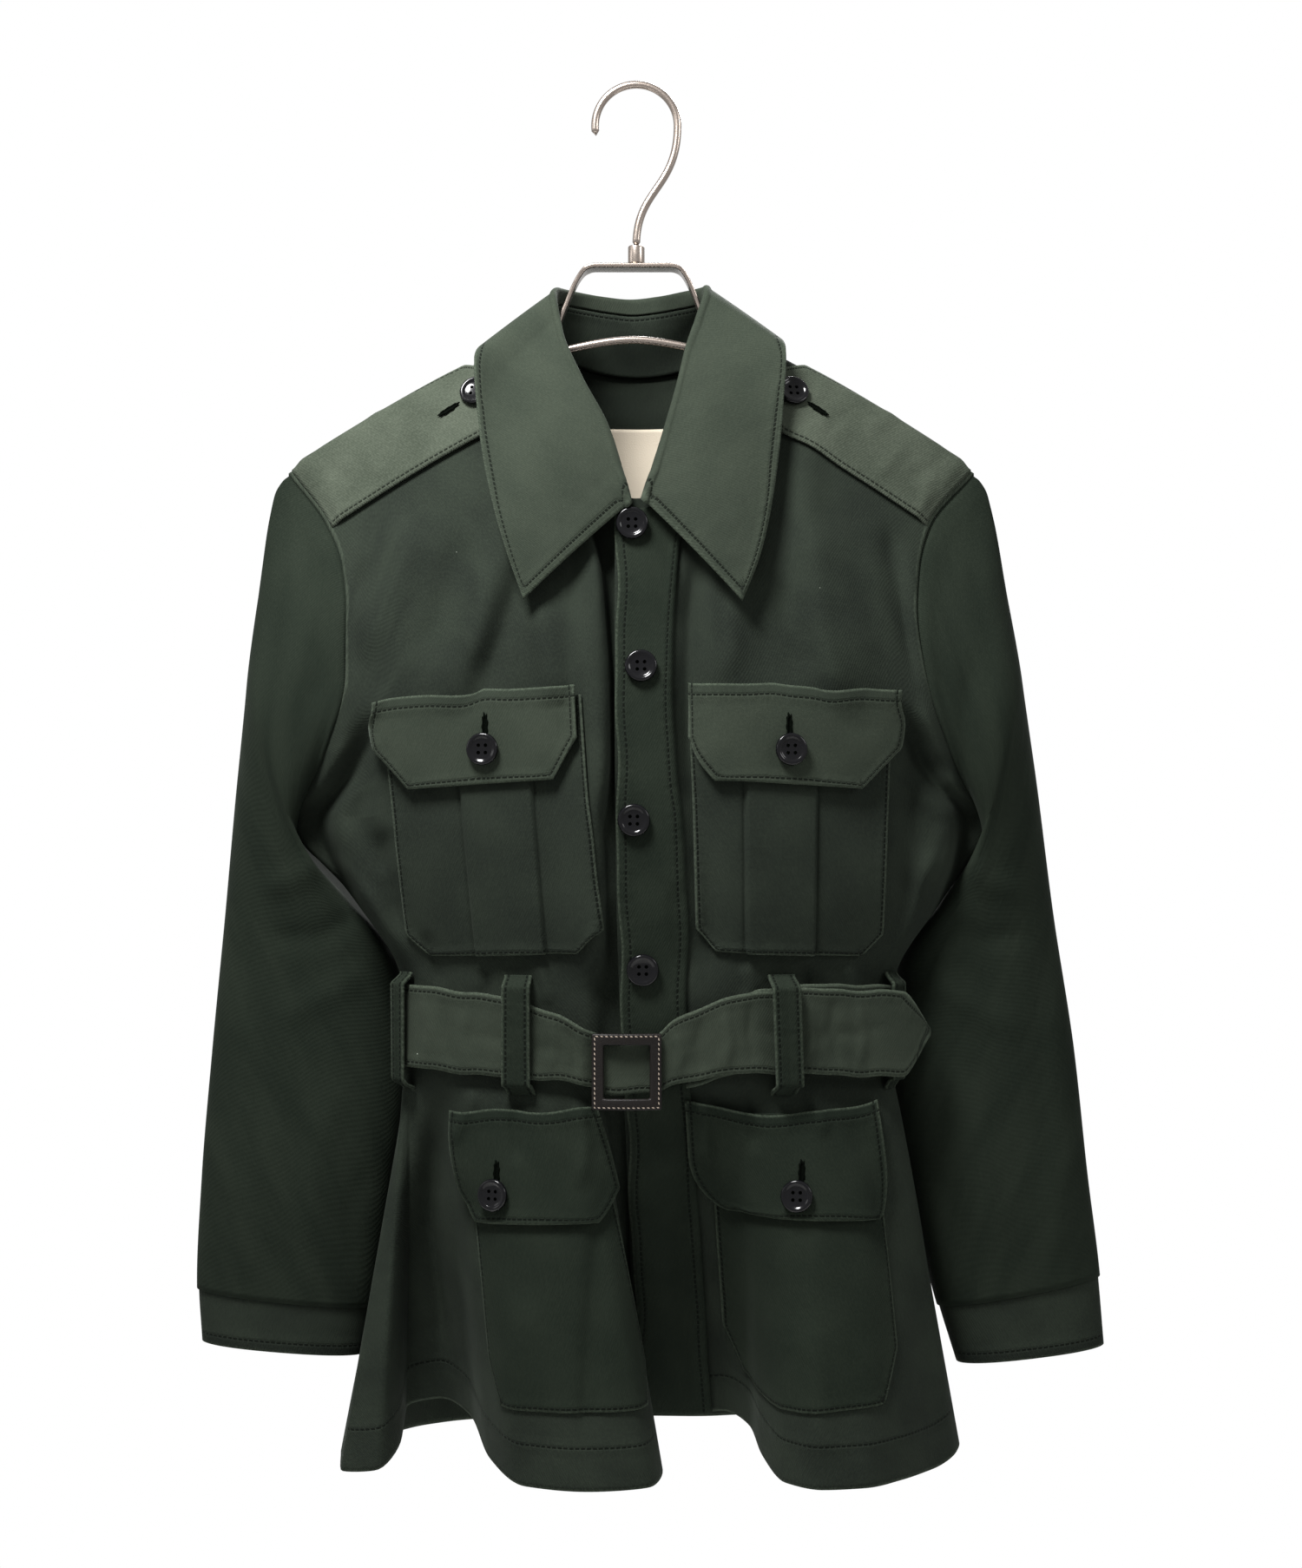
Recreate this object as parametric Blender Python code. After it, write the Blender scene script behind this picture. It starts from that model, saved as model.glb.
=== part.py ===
"""A belted four-pocket military jacket hanging on a steel hanger.

Millimetres in the tables, metres in the scene. +X is the wearer's left, -Y the front, +Z up.
The origin is the inside top of the hanger's hook, where a rail holds it.
Each cloth panel is a function of two numbers: u runs across the cloth, h is the height.
"""

import math

import bmesh
import bpy
import numpy as np

MM = 0.001
CLOTH = 1.4
GAP = 0.3
LAYER = 2.4
POCKET_OUT = 3.0
CHEST_POCKET_OUT = 4.0
PLEAT_OUT = 1.0
CHEST_FLAP_OUT = 8.0
SKIRT_FLAP_OUT = 5.7
BUTTON_RISE = 1.5

HEM = -815.0
WAIST = -590.0
FLARE = 0.85
ARMPIT = -436.0
SHOULDER_TIP = -231.0
RIGHT, LEFT = -1, 1
NAME = {RIGHT: "right", LEFT: "left"}

NECK_SHARE = 0.30
NECK_HALF = 57.0
NECK_POINT_HEIGHT = -146.0
FRONT_NECK = (-60.0, -252.0)
BACK_NECK = (47.0, -167.0)
SHOULDER_DEPTH = 0.0
SHOULDER_BOW = 3.0
SHOULDER_TIP_X = {RIGHT: -208.0, LEFT: 202.0}
UNDERLAP = 33.0
UNDER_DEPTH = 8.0
UNDER_DROP = 5.0
SEAM_HALF = 0.65
SIDE_SEAM_HALF = 0.2
SEAM_TRIM = 0.0014
ARMHOLE_TRIM = 0.005
ARMPIT_TRIM = 0.025
ARMHOLE_ROWS = 8
LOWER_ROWS = 12

GREEN = (0.030, 0.043, 0.035)
BLACK = (0.008, 0.008, 0.009)
BROWN = (0.018, 0.014, 0.012)
CREAM = (0.55, 0.50, 0.40)
STEEL = (0.62, 0.60, 0.57)

# How the fronts and the back stand at each height. "wide" is the fold that shows at the side,
# "edge" the side seam below the armpit and the armhole seam above it.
SECTIONS = (
    ("height", "front", "right_wide", "left_wide", "wide_y", "right_edge", "left_edge", "edge_y",
     "round", "back", "back_right", "back_left", "back_y"),
    (-590, -68, -137, 151, -18, -127, 141, 8, 0.75, 46, -127, 141, 8),
    (-535, -70, -138, 152, -20, -127, 141, 7, 0.70, 47, -127, 141, 7),
    (-478, -77, -173, 187, -19, -152, 165, 5, 0.42, 53, -152, 165, 5),
    (-436, -79, -206, 210, -10, -202, 206, 2, 0.25, 56, -202, 206, 2),
    (-415, -79, -192, 193, -26, -192, 193, -26, 0.20, 57, -193, 195, 26),
    (-395, -78, -181, 183, -38, -181, 183, -38, 0.16, 57, -184, 186, 36),
    (-354, -76, -169, 169, -47, -169, 169, -47, 0.12, 57, -177, 176, 42),
    (-314, -71, -169, 164, -47, -169, 164, -47, 0.12, 56, -176, 172, 42),
    (-289, -68, -172, 166, -43, -172, 166, -43, 0.12, 54, -179, 174, 38),
    (-263, -64, -183, 174, -32, -183, 174, -32, 0.12, 52, -187, 179, 30),
    (-231, -60, -208, 202, -4, -208, 202, -4, 0.12, 50, -208, 202, 8),
)

# The front edge of the left front, which carries the placket and laps over the right front.
FRONT_EDGE = (
    ("height", "x"),
    (-815, 0), (-675, -3), (-571, -8), (-478, -11), (-354, -12), (-231, -12),
)

# The hem of each panel: where the crests and troughs of its folds lie, and how far it is drawn up.
RIGHT_HEM = (
    ("across", "x", "y", "rise"),
    (0.00, 28, 6, 24), (0.09, -2, 6, 22), (0.15, -11, -15, 14), (0.21, 15, -57, 2), (0.27, 8, -86, 0),
    (0.36, -26, -96, 0), (0.47, -62, -84, 0), (0.56, -84, -52, 8), (0.64, -98, -14, 24),
    (0.72, -117, 4, 30), (0.79, -138, -2, 26), (0.84, -139, -26, 12), (0.90, -150, -56, 2),
    (0.96, -170, -50, 0), (1.00, -174, -20, 4),
)
LEFT_HEM = (
    ("across", "x", "y", "rise"),
    (0.00, 0, -4, 22), (0.09, 30, -2, 22), (0.18, 52, -2, 24), (0.26, 68, -16, 18), (0.32, 74, -44, 8),
    (0.40, 86, -76, 0), (0.50, 106, -92, 0), (0.60, 130, -88, 0), (0.70, 152, -70, 0),
    (0.80, 172, -46, 0), (0.90, 188, -24, 4), (0.96, 192, -6, 6), (1.00, 188, 8, 6),
)
BACK_HEM = (
    ("across", "x", "y", "rise"),
    (-1.00, -174, -20, 4), (-0.90, -162, 14, 2), (-0.76, -132, 62, 0), (-0.58, -96, 78, 0),
    (-0.40, -62, 56, 8), (-0.20, -30, 66, 4), (0.00, 6, 86, 0), (0.20, 42, 68, 4), (0.40, 74, 56, 8),
    (0.58, 108, 78, 0), (0.76, 146, 66, 0), (0.90, 176, 28, 4), (1.00, 188, 8, 6),
)

# Soft folds above the belt. "out" moves the cloth away from the body, "along" moves it to +X.
FOLDS = (
    ("panel", "u_low", "u_high", "spread", "low", "high", "fade", "out", "along"),
    ("right", 0.200, 0.200, 0.040, -500, -300, 40, 9, 7),
    ("right", 0.93, 0.88, 0.055, -505, -400, 30, -15, 0),
    ("right", 0.60, 0.42, 0.070, -365, -290, 30, 5, 0),
    ("right", 0.52, 0.33, 0.050, -365, -300, 30, -5, 0),
    ("left", 0.20, 0.20, 0.050, -500, -330, 40, -5, 0),
    ("left", 0.93, 0.88, 0.055, -505, -400, 30, -15, 0),
    ("left", 0.66, 0.60, 0.060, -365, -270, 30, 6, 0),
    ("left", 0.45, 0.36, 0.060, -365, -290, 30, -4, 0),
    ("back", -0.46, -0.62, 0.090, -490, -430, 45, 8, 0),
    ("back", 0.46, 0.62, 0.090, -490, -430, 45, 8, 0),
    ("back", 0.00, 0.00, 0.100, -490, -300, 45, -6, 0),
)

# Each sleeve from its armhole to its cuff: the outer and inner edge and how deep it is between.
RIGHT_SLEEVE = (
    ("along", "outer_x", "outer_z", "inner_x", "inner_z", "front", "back"),
    (0.00, -212, -238, -206, -440, -47, 43),
    (0.08, -221, -258, -206, -446, -46, 45),
    (0.20, -227, -310, -202, -456, -44, 47),
    (0.32, -233, -366, -190, -468, -38, 49),
    (0.44, -240, -425, -169, -490, -30, 50),
    (0.56, -248, -500, -146, -527, -20, 52),
    (0.68, -256, -580, -143, -585, -15, 50),
    (0.80, -262, -652, -149, -655, -12, 46),
    (0.92, -265, -716, -158, -727, -8, 41),
    (1.00, -263, -752, -164, -760, -6, 39),
)
LEFT_SLEEVE = (
    ("along", "outer_x", "outer_z", "inner_x", "inner_z", "front", "back"),
    (0.00, 206, -238, 210, -440, -47, 43),
    (0.08, 215, -258, 211, -446, -46, 45),
    (0.20, 223, -310, 207, -456, -44, 47),
    (0.32, 231, -362, 196, -468, -38, 49),
    (0.44, 240, -418, 181, -490, -30, 50),
    (0.56, 251, -495, 160, -527, -20, 52),
    (0.68, 264, -578, 157, -585, -15, 50),
    (0.80, 272, -652, 166, -655, -12, 46),
    (0.92, 279, -708, 181, -726, -8, 41),
    (1.00, 283, -754, 193, -765, -6, 39),
)
CUFF_START = 0.925
CUFF_GAP = 0.001
CUFF_OUT = 0.9
CUFF_BUTTON_RISE = 4.0
SLEEVE_ROUNDNESS = 0.85
ARMHOLE_BLEND = 0.30

# The collar from its right front end round the neck to its left front end: the roll line and
# the outer edge of the leaves.
COLLAR = (
    ("around", "roll_x", "roll_y", "roll_z", "edge_x", "edge_y", "edge_z", "bulge"),
    (0.00, -3, -66, -254, -64, -77, -311, 2),
    (0.08, -16, -54, -212, -74, -71, -283, 4),
    (0.15, -32, -40, -181, -82, -62, -256, 6),
    (0.22, -44, -22, -151, -91, -45, -212, 6),
    (0.30, -48, -2, -125, -95, -33, -168, 2),
    (0.35, -45, 12, -120, -90, -4, -155, 1),
    (0.41, -34, 32, -119, -76, 34, -158, 2),
    (0.46, -18, 42, -120, -46, 56, -168, 3),
    (0.50, -3, 45, -121, -3, 63, -174, 4),
    (0.54, 12, 42, -120, 42, 56, -168, 3),
    (0.59, 27, 32, -119, 70, 34, -156, 2),
    (0.65, 40, 12, -119, 84, -4, -151, 1),
    (0.70, 41, -2, -124, 88, -33, -163, 2),
    (0.78, 32, -24, -156, 86, -40, -197, 6),
    (0.85, 26, -40, -181, 80, -58, -245, 6),
    (0.92, 16, -54, -216, 72, -70, -283, 4),
    (1.00, 4, -66, -252, 61, -77, -312, 2),
)
COLLAR_ROLL = 2.6
STAND_DROP = 8.0
NECK_INSET = 3.0

# The belt's path round the waist, as seen at its top and bottom edge.
BELT = (
    ("around", "top", "bottom"),
    (0.000, -563, -595), (0.014, -558, -590), (0.036, -548, -586), (0.072, -539, -585),
    (0.160, -534, -582), (0.25, -535, -584), (0.50, -536, -586), (0.75, -537, -586),
    (0.90, -532, -583), (0.950, -534, -580), (0.975, -545, -584), (1.000, -560, -590),
)
BELT_HEIGHT = -560.0
BELT_CENTRE = (7.0, -8.0)
BELT_OUT = 5.8
BELT_WALL = 2.4
BELT_FREE_END = (
    ("along", "x", "y", "top", "bottom"),
    (0.00, 8, -78, -561, -593), (0.10, 22, -77.5, -551, -588), (0.25, 42, -75.8, -542, -584),
    (0.40, 66, -72.6, -536, -582), (0.55, 94, -67, -534, -583), (0.80, 138, -52, -536, -586),
    (0.92, 155, -45, -537, -587), (1.00, 172, -36, -559, -563),
)
LOOPS = (
    ("name", "side", "u", "out"),
    ("right_side", RIGHT, 0.790, 10.5),
    ("right", RIGHT, 0.372, 10.0),
    ("left", LEFT, 0.383, 15.0),
    ("left_side", LEFT, 0.800, 10.0),
)
LOOP_SHARE = 0.036
LOOP_FOOT = 2.3
LOOP_WALL = 1.8
LOOP_TOP, LOOP_BOTTOM = -526.0, -595.0

BUCKLE_CENTRE = (-5.0, -84.0, -580.0)
BUCKLE_SIZE = (39.5, 43.5)
BUCKLE_RAIL = 6.5
BUCKLE_WALL = 3.6
BUCKLE_CREST = 2.5

BUTTON_RADIUS = 9.3
BUTTON_WALL = 3.6

# Four corners of each chest piece as seen from the front: top inner, top outer, bottom inner,
# bottom outer, then its cut corners across and down.
CHEST_POCKET = {
    RIGHT: ((-30, -366), (-146, -371), (-19.5, -512), (-131, -516), (13, 13)),
    LEFT: ((30, -366), (147, -368), (34, -512), (142, -516), (13, 13)),
}
CHEST_FLAP = {
    RIGHT: ((-32, -361), (-149.5, -368), (-28.5, -413), (-145, -420), (17, 22)),
    LEFT: ((29, -359.5), (151, -363), (27, -413), (147, -420), (19, 22)),
}
CHEST_BUTTON = {RIGHT: (-85, -397), LEFT: (86.5, -397)}
CHEST_WIDTH = 116.0
PLEAT_EDGE = 0.02
PLEAT = {RIGHT: (0.28, 0.64), LEFT: (0.27, 0.63)}

# The skirt pockets and flaps, as shares across the front and heights on it.
SKIRT_POCKET = {
    RIGHT: ((0.215, -606), (0.545, -606), (0.215, -772), (0.530, -772), (0.07, 24)),
    LEFT: ((0.185, -606), (0.690, -606), (0.195, -776), (0.715, -770), (0.11, 30)),
}
SKIRT_FLAP = {
    RIGHT: ((0.205, -602), (0.575, -604), (0.205, -667), (0.560, -669), (0.06, 18)),
    LEFT: ((0.135, -597), (0.690, -600), (0.130, -664), (0.715, -669), (0.09, 20)),
}
SKIRT_BUTTON = {RIGHT: (0.47, -652), LEFT: (0.43, -653)}

FRONT_BUTTONS = ((-2, -267), (3, -350), (-1, -437), (4, -522))
PLACKET_SHARES = (0.004, 0.150)

EPAULETTE_ENDS = (0.20, 0.985)
EPAULETTE_FRONT = (-56.0, -48.0)
EPAULETTE_BACK = (-3.0, 5.0)
EPAULETTE_POINT = 0.12
EPAULETTE_POINT_WIDTH = 0.45
EPAULETTE_RIDGE = 5 / 6
EPAULETTE_OUT = 3.15
EPAULETTE_BUTTON = (0.285, -27.0)

LABEL = (-40.0, 32.0, -252.0, -198.0)
LABEL_OUT = 3.2

WIRE = 2.35
BEND = 24.7
HOOK_X = 0.0
HOOK_PULL = (38, 34)
STRAP = (
    ("along", "x", "z", "half_depth"),
    (0.00, -49.5, -150, 5), (0.20, -42.5, -131, 5), (0.36, -34, -113, 7), (0.41, -29.5, -108.5, 9),
    (0.46, -24, -107.2, 9), (0.54, 20, -107.2, 9), (0.59, 25.5, -108.5, 9), (0.64, 29.5, -113, 7),
    (0.80, 37.5, -131, 5), (1.00, 44.5, -150, 5),
)
STRAP_WALL = 2.6
ARMS = (
    ("along", "x", "z"),
    (0.00, -184, -224), (0.13, -140, -196.6), (0.24, -100, -174.2), (0.32, -75, -164.5),
    (0.40, -50, -158.2), (0.50, -2, -150.5), (0.60, 46, -158.2), (0.68, 71, -164.5),
    (0.76, 96, -174.2), (0.87, 135, -196.6), (1.00, 178, -224),
)
FERRULE = (5.0, -105.5, -94.3)
FERRULE_GAP = 0.3

PATCH = (0.560, 0.250, 0.083, 0.052)
FLASH = (0.475, 0.710, 0.054, 0.050, 0.020)
BADGE_OUT = 2.7
FLASH_OUT = 3.7
CUFF_BUTTON = {RIGHT: (0.93, 0.965), LEFT: (0.02, 0.970)}


def curve(table, column):
    """One column of a table as a smooth curve against its first column, with no overshoot."""
    at = np.array([row[0] for row in table[1:]], float)
    value = np.array([row[table[0].index(column)] for row in table[1:]], float)
    step = np.diff(at)
    rise = np.diff(value) / step
    slope = np.concatenate([rise[:1], np.zeros(len(at) - 2), rise[-1:]])
    same = rise[1:] * rise[:-1] > 0
    total = np.where(same, rise[1:] + rise[:-1], 1.0)
    slope[1:-1] = np.where(same, 2 * rise[1:] * rise[:-1] / total, 0.0)

    def read(x):
        x = np.clip(x, at[0], at[-1])
        i = np.clip(np.searchsorted(at, x, side="right") - 1, 0, len(step) - 1)
        t = (x - at[i]) / step[i]
        from_value = (1 + 2 * t) * (1 - t) ** 2 * value[i] + t * t * (3 - 2 * t) * value[i + 1]
        from_slope = t * (1 - t) ** 2 * slope[i] + t * t * (t - 1) * slope[i + 1]
        return from_value + from_slope * step[i]

    return read


def curves(table):
    return {name: curve(table, name) for name in table[0][1:]}


def ease(a, b, x):
    t = np.clip((x - a) / (b - a), 0, 1)
    return t * t * (3 - 2 * t)


def point(x, y, z):
    return np.stack(np.broadcast_arrays(x, y, z), -1).astype(float)


SECTION = curves(SECTIONS)
EDGE_X = curve(FRONT_EDGE, "x")
HEMS = {"right": curves(RIGHT_HEM), "left": curves(LEFT_HEM), "back": curves(BACK_HEM)}
SLEEVES = {RIGHT: curves(RIGHT_SLEEVE), LEFT: curves(LEFT_SLEEVE)}
COLLAR_LINES = curves(COLLAR)
BELT_LINES = curves(BELT)
FREE_END_LINES = curves(BELT_FREE_END)


def folds(panel, u, h):
    """How far the soft folds move the cloth: outwards, and along +X."""
    out, along = np.zeros_like(u), np.zeros_like(u)
    for name, u_low, u_high, spread, low, high, fade, push, slide in FOLDS[1:]:
        middle = u_low + (u_high - u_low) * np.clip((h - low) / (high - low), 0, 1)
        weight = np.exp(-(((u - middle) / spread) ** 2)) * ease(low - fade, low, h)
        weight = weight * (1 - ease(high, high + fade, h)) * (name == panel)
        out, along = out + weight * push, along + weight * slide
    return out, along


def above_armpit(h):
    """The share of the way from the armpit to the top, and how far the cloth still stands out."""
    w = np.clip((h - ARMPIT) / (SHOULDER_TIP - ARMPIT), 0, 1)
    return w, (1 - w**2.2) ** 0.6


def top_line(u, start_angle, neck, tip_x):
    """The neckline up to NECK_SHARE, then the shoulder seam out to the armhole; u runs outwards."""
    side = np.sign(tip_x)
    angle = start_angle + (math.pi / 2 - start_angle) * np.clip(u / NECK_SHARE, 0, 1)
    k = np.clip((u - NECK_SHARE) / (1 - NECK_SHARE), 0, 1)
    turned = 1 - np.cos(angle)
    x = side * NECK_HALF * np.sin(angle) + (tip_x - side * NECK_HALF) * k
    y = neck[0] + (SHOULDER_DEPTH - neck[0]) * turned**0.9
    z = neck[1] + (NECK_POINT_HEIGHT - neck[1]) * turned + (SHOULDER_TIP - NECK_POINT_HEIGHT) * k
    return point(x, y, z + SHOULDER_BOW * np.sin(math.pi * k))


def upper_front(side, u, h):
    """A point of a front at or above the waist."""
    wide, edge = SECTION[NAME[side] + "_wide"](h), SECTION[NAME[side] + "_edge"](h)
    wide_y, edge_y = SECTION["wide_y"](h), SECTION["edge_y"](h)
    bent, start = SECTION["round"](h), EDGE_X(h) + UNDERLAP * (side == RIGHT)
    w, stand = above_armpit(h)
    turn = 1 - 0.12 * (1 - ease(ARMPIT - 75, ARMPIT, h))
    q = np.clip(u / turn, 0, 1)
    start_angle = np.arcsin(side * start / NECK_HALF)
    top = top_line(u, start_angle, FRONT_NECK, SHOULDER_TIP_X[side])
    share = (1 - bent) * q + bent * np.sin(math.pi / 2 * q)
    top_share = (top[..., 0] - start) / (SHOULDER_TIP_X[side] - start)
    share = share + (top_share - share) * w**1.3
    x = start + (wide - start) * share
    off = np.clip(np.abs(x) / np.abs(wide), 0, 1)
    y = (1 - bent) * off**2.2 + bent * (1 - np.sqrt(1 - np.clip(off, 0, 0.999) ** 2.4))
    y = SECTION["front"](h) + (wide_y - SECTION["front"](h)) * y
    tuck = np.clip((u - turn) / np.maximum(1 - turn, 1e-6), 0, 1) * (turn < 1)
    x = x + (edge - wide) * tuck**2
    y = y + (edge_y - wide_y) * tuck
    out, along = folds(NAME[side], u, h)
    under = (side == RIGHT) * (1 - ease(0.15, 0.21, u))
    y = top[..., 1] - SEAM_HALF + (y - out - top[..., 1]) * stand + UNDER_DEPTH * under
    z = np.where(h > ARMPIT, ARMPIT + w * (top[..., 2] - ARMPIT), h)
    return point(x + along * stand, y, z - UNDER_DROP * under * w)


def upper_back(u, h):
    """A point of the back at or above the waist; u runs from -1, its right side, to +1."""
    a = np.abs(u)
    edge = np.where(u < 0, SECTION["back_right"](h), SECTION["back_left"](h))
    tip = np.where(u < 0, SHOULDER_TIP_X[RIGHT], SHOULDER_TIP_X[LEFT])
    w, stand = above_armpit(h)
    top = top_line(a, 0.0, BACK_NECK, tip)
    share = a + (top[..., 0] / tip - a) * w**1.3
    y = SECTION["back"](h) + (SECTION["back_y"](h) - SECTION["back"](h)) * share**2.8
    out, along = folds("back", u, h)
    y = top[..., 1] + SEAM_HALF + (y + out - top[..., 1]) * stand
    z = np.where(h > ARMPIT, ARMPIT + w * (top[..., 2] - ARMPIT), h)
    return point(edge * share, y, z)


def skirted(panel, upper, u, h):
    """The panel's own point above the waist, and below it the way down to the folds of the hem."""
    u, h = np.broadcast_arrays(np.asarray(u, float), np.asarray(h, float))
    waist = upper(u, np.full_like(h, WAIST))
    t = np.clip((WAIST - h) / (WAIST - HEM), 0, 1)[..., None]
    spread = t**FLARE
    hem = HEMS[panel]
    apart = SIDE_SEAM_HALF if panel == "back" else -SIDE_SEAM_HALF
    low = point(hem["x"](u), hem["y"](u) + apart, HEM + hem["rise"](u))
    lower = waist + (low - waist) * spread
    lower[..., 2] = h + hem["rise"](u) * t[..., 0] ** 2
    return np.where((h < WAIST)[..., None], lower, upper(u, np.maximum(h, WAIST)))


def front(side, u, h):
    return skirted(NAME[side], lambda a, b: upper_front(side, a, b), u, h)


def back(u, h):
    return skirted("back", upper_back, u, h)


def raised(surface, a, b, out, step_a=0.004, step_b=1.0):
    """A surface's point moved out along its own normal; a negative number moves it inwards."""
    along = surface(a + step_a, b) - surface(a - step_a, b)
    up = surface(a, b + step_b) - surface(a, b - step_b)
    normal = np.cross(along, up)
    normal = normal / np.linalg.norm(normal, axis=-1, keepdims=True)
    return surface(a, b) + normal * np.asarray(out)[..., None]


def on_front(side, u, h, out):
    """A point lying on a front; u runs away from the middle, so the right front's is mirrored."""
    return raised(lambda a, b: front(side, a, b), u, h, side * np.asarray(out, float))


def seen_at(surface, x, z, u, h):
    """The u and h at which a surface has this x and z, found by Newton's steps."""
    u, h = np.broadcast_arrays(np.asarray(u, float), np.asarray(h, float))
    for _ in range(30):
        p = surface(u, h)
        du = (surface(u + 0.002, h) - surface(u - 0.002, h)) / 0.004
        dh = (surface(u, h + 1.0) - surface(u, h - 1.0)) / 2.0
        miss_x, miss_z = x - p[..., 0], z - p[..., 2]
        det = du[..., 0] * dh[..., 2] - dh[..., 0] * du[..., 2]
        u = np.clip(u + 0.7 * (miss_x * dh[..., 2] - miss_z * dh[..., 0]) / det, -1, 1)
        h = np.minimum(h + 0.7 * (du[..., 0] * miss_z - du[..., 2] * miss_x) / det, SHOULDER_TIP - 2)
    return u, h


def chest_point(side, x, z, out):
    """A point lying on a front's chest, placed as it is seen from the front."""
    guess_u = 0.1 + 0.85 * np.abs(x) / 190
    u, h = seen_at(lambda a, b: front(side, a, b), x, z, guess_u, z)
    return on_front(side, u, h, out)


def cut_panel(corners, s, t, reach):
    """Two coordinates inside four corners; s runs away from the middle, t down; its two bottom
    corners are cut off. reach is the piece's width in the first coordinate's unit."""
    top_in, top_out, low_in, low_out, (cut_across, cut_down) = corners
    tall = abs(top_in[1] - low_in[1])
    cut = np.clip((t - (1 - cut_down / tall)) * tall / cut_down, 0, 1) * cut_across / reach
    s = cut + s * (1 - 2 * cut)
    first = [(1 - t) * ((1 - s) * top_in[i] + s * top_out[i]) for i in (0, 1)]
    return [first[i] + t * ((1 - s) * low_in[i] + s * low_out[i]) for i in (0, 1)]


def sleeve_ring(side, v, s):
    """A point of the table's own rings, each an upright oval between its outer and inner edge."""
    line = {name: read(s) for name, read in SLEEVES[side].items()}
    cos, sin = np.cos(2 * math.pi * v), np.sin(2 * math.pi * v)
    inward = np.sign(cos) * np.abs(cos) ** SLEEVE_ROUNDNESS
    deep = np.sign(sin) * np.abs(sin) ** SLEEVE_ROUNDNESS
    x = (line["outer_x"] + line["inner_x"]) / 2 + (line["inner_x"] - line["outer_x"]) / 2 * inward
    z = (line["outer_z"] + line["inner_z"]) / 2 + (line["inner_z"] - line["outer_z"]) / 2 * inward
    y = (line["front"] + line["back"]) / 2 + (line["front"] - line["back"]) / 2 * deep
    return point(x, y, z)


def sleeve(side, v, s):
    """A point of a sleeve: v runs round it from the underarm over the front, s down to the cuff.
    Its first ring is the armhole of the front and the back."""
    v, s = np.broadcast_arrays(np.asarray(v, float), np.asarray(s, float))
    h = ARMPIT + (SHOULDER_TIP - ARMPIT) * (1 - np.cos(2 * math.pi * v)) / 2
    whole = np.ones_like(v)
    hole = np.where((v % 1 <= 0.5)[..., None], front(side, whole, h), back(side * whole, h))
    hole = hole + np.array([side * GAP, 0, 0])
    blend = (1 - ease(0, ARMHOLE_BLEND, s))[..., None]
    return sleeve_ring(side, v, s) + (hole - sleeve_ring(side, v, 0 * s)) * blend


def on_sleeve(side, v, s, out):
    return raised(lambda a, b: sleeve(side, a, b), v, s, side * np.asarray(out, float), 0.004, 0.004)


def roll_line(q):
    return point(*(COLLAR_LINES["roll_" + axis](q) for axis in "xyz"))


def neck_seam(q):
    """The foot of the stand, just inside the neckline of the fronts and the back."""
    turn = 2 * math.pi * np.clip(q, 0.035, 0.965)
    front_half = np.cos(turn) > 0
    turned = 1 - np.abs(np.cos(turn))
    neck_y = np.where(front_half, FRONT_NECK[0], BACK_NECK[0])
    neck_z = np.where(front_half, FRONT_NECK[1], BACK_NECK[1])
    inside = 1 - NECK_INSET / NECK_HALF
    x = -NECK_HALF * inside * np.sin(turn)
    y = (neck_y + (SHOULDER_DEPTH - neck_y) * turned**0.9) * inside
    z = neck_z + (NECK_POINT_HEIGHT - neck_z) * turned
    return point(x, y, z + 0.4)


def collar_stand(q, t):
    """t runs up the stand, from the neck seam to just under the roll."""
    roll = roll_line(q)
    foot = neck_seam(q)
    up = roll - foot
    length = np.linalg.norm(up, axis=-1, keepdims=True)
    share = 1 - np.minimum(STAND_DROP / length, 0.5)
    return foot + up * share * t[..., None]


def collar_fall(q, t):
    """t runs up the inside from the stand's seam, over the roll and down to the outer edge."""
    roll, foot = roll_line(q), neck_seam(q)
    edge = point(*(COLLAR_LINES["edge_" + axis](q) for axis in "xyz"))
    up = (roll - foot) / np.linalg.norm(roll - foot, axis=-1, keepdims=True)
    away = edge - roll
    away = away - up * np.sum(away * up, -1, keepdims=True)
    away = away / np.linalg.norm(away, axis=-1, keepdims=True)
    length = np.linalg.norm(roll - foot, axis=-1, keepdims=True)
    drop = np.minimum(STAND_DROP, length * 0.5) - 1.1
    turn = math.pi * np.clip((t - 0.12) / 0.22, 0, 1)[..., None]
    inner = roll - up * drop * np.clip(1 - t / 0.12, 0, 1)[..., None]
    crown = away * COLLAR_ROLL * (1 - np.cos(turn)) + up * COLLAR_ROLL * np.sin(turn)
    leaf = np.clip((t - 0.34) / 0.66, 0, 1)[..., None]
    start = roll + away * 2 * COLLAR_ROLL
    bulge = COLLAR_LINES["bulge"](q)[..., None] * 4 * leaf * (1 - leaf)
    outward = point(0 * q, -np.cos(2 * math.pi * q), 0.4 + 0 * q)
    return inner + crown + (edge - start) * leaf + outward * bulge


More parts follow.
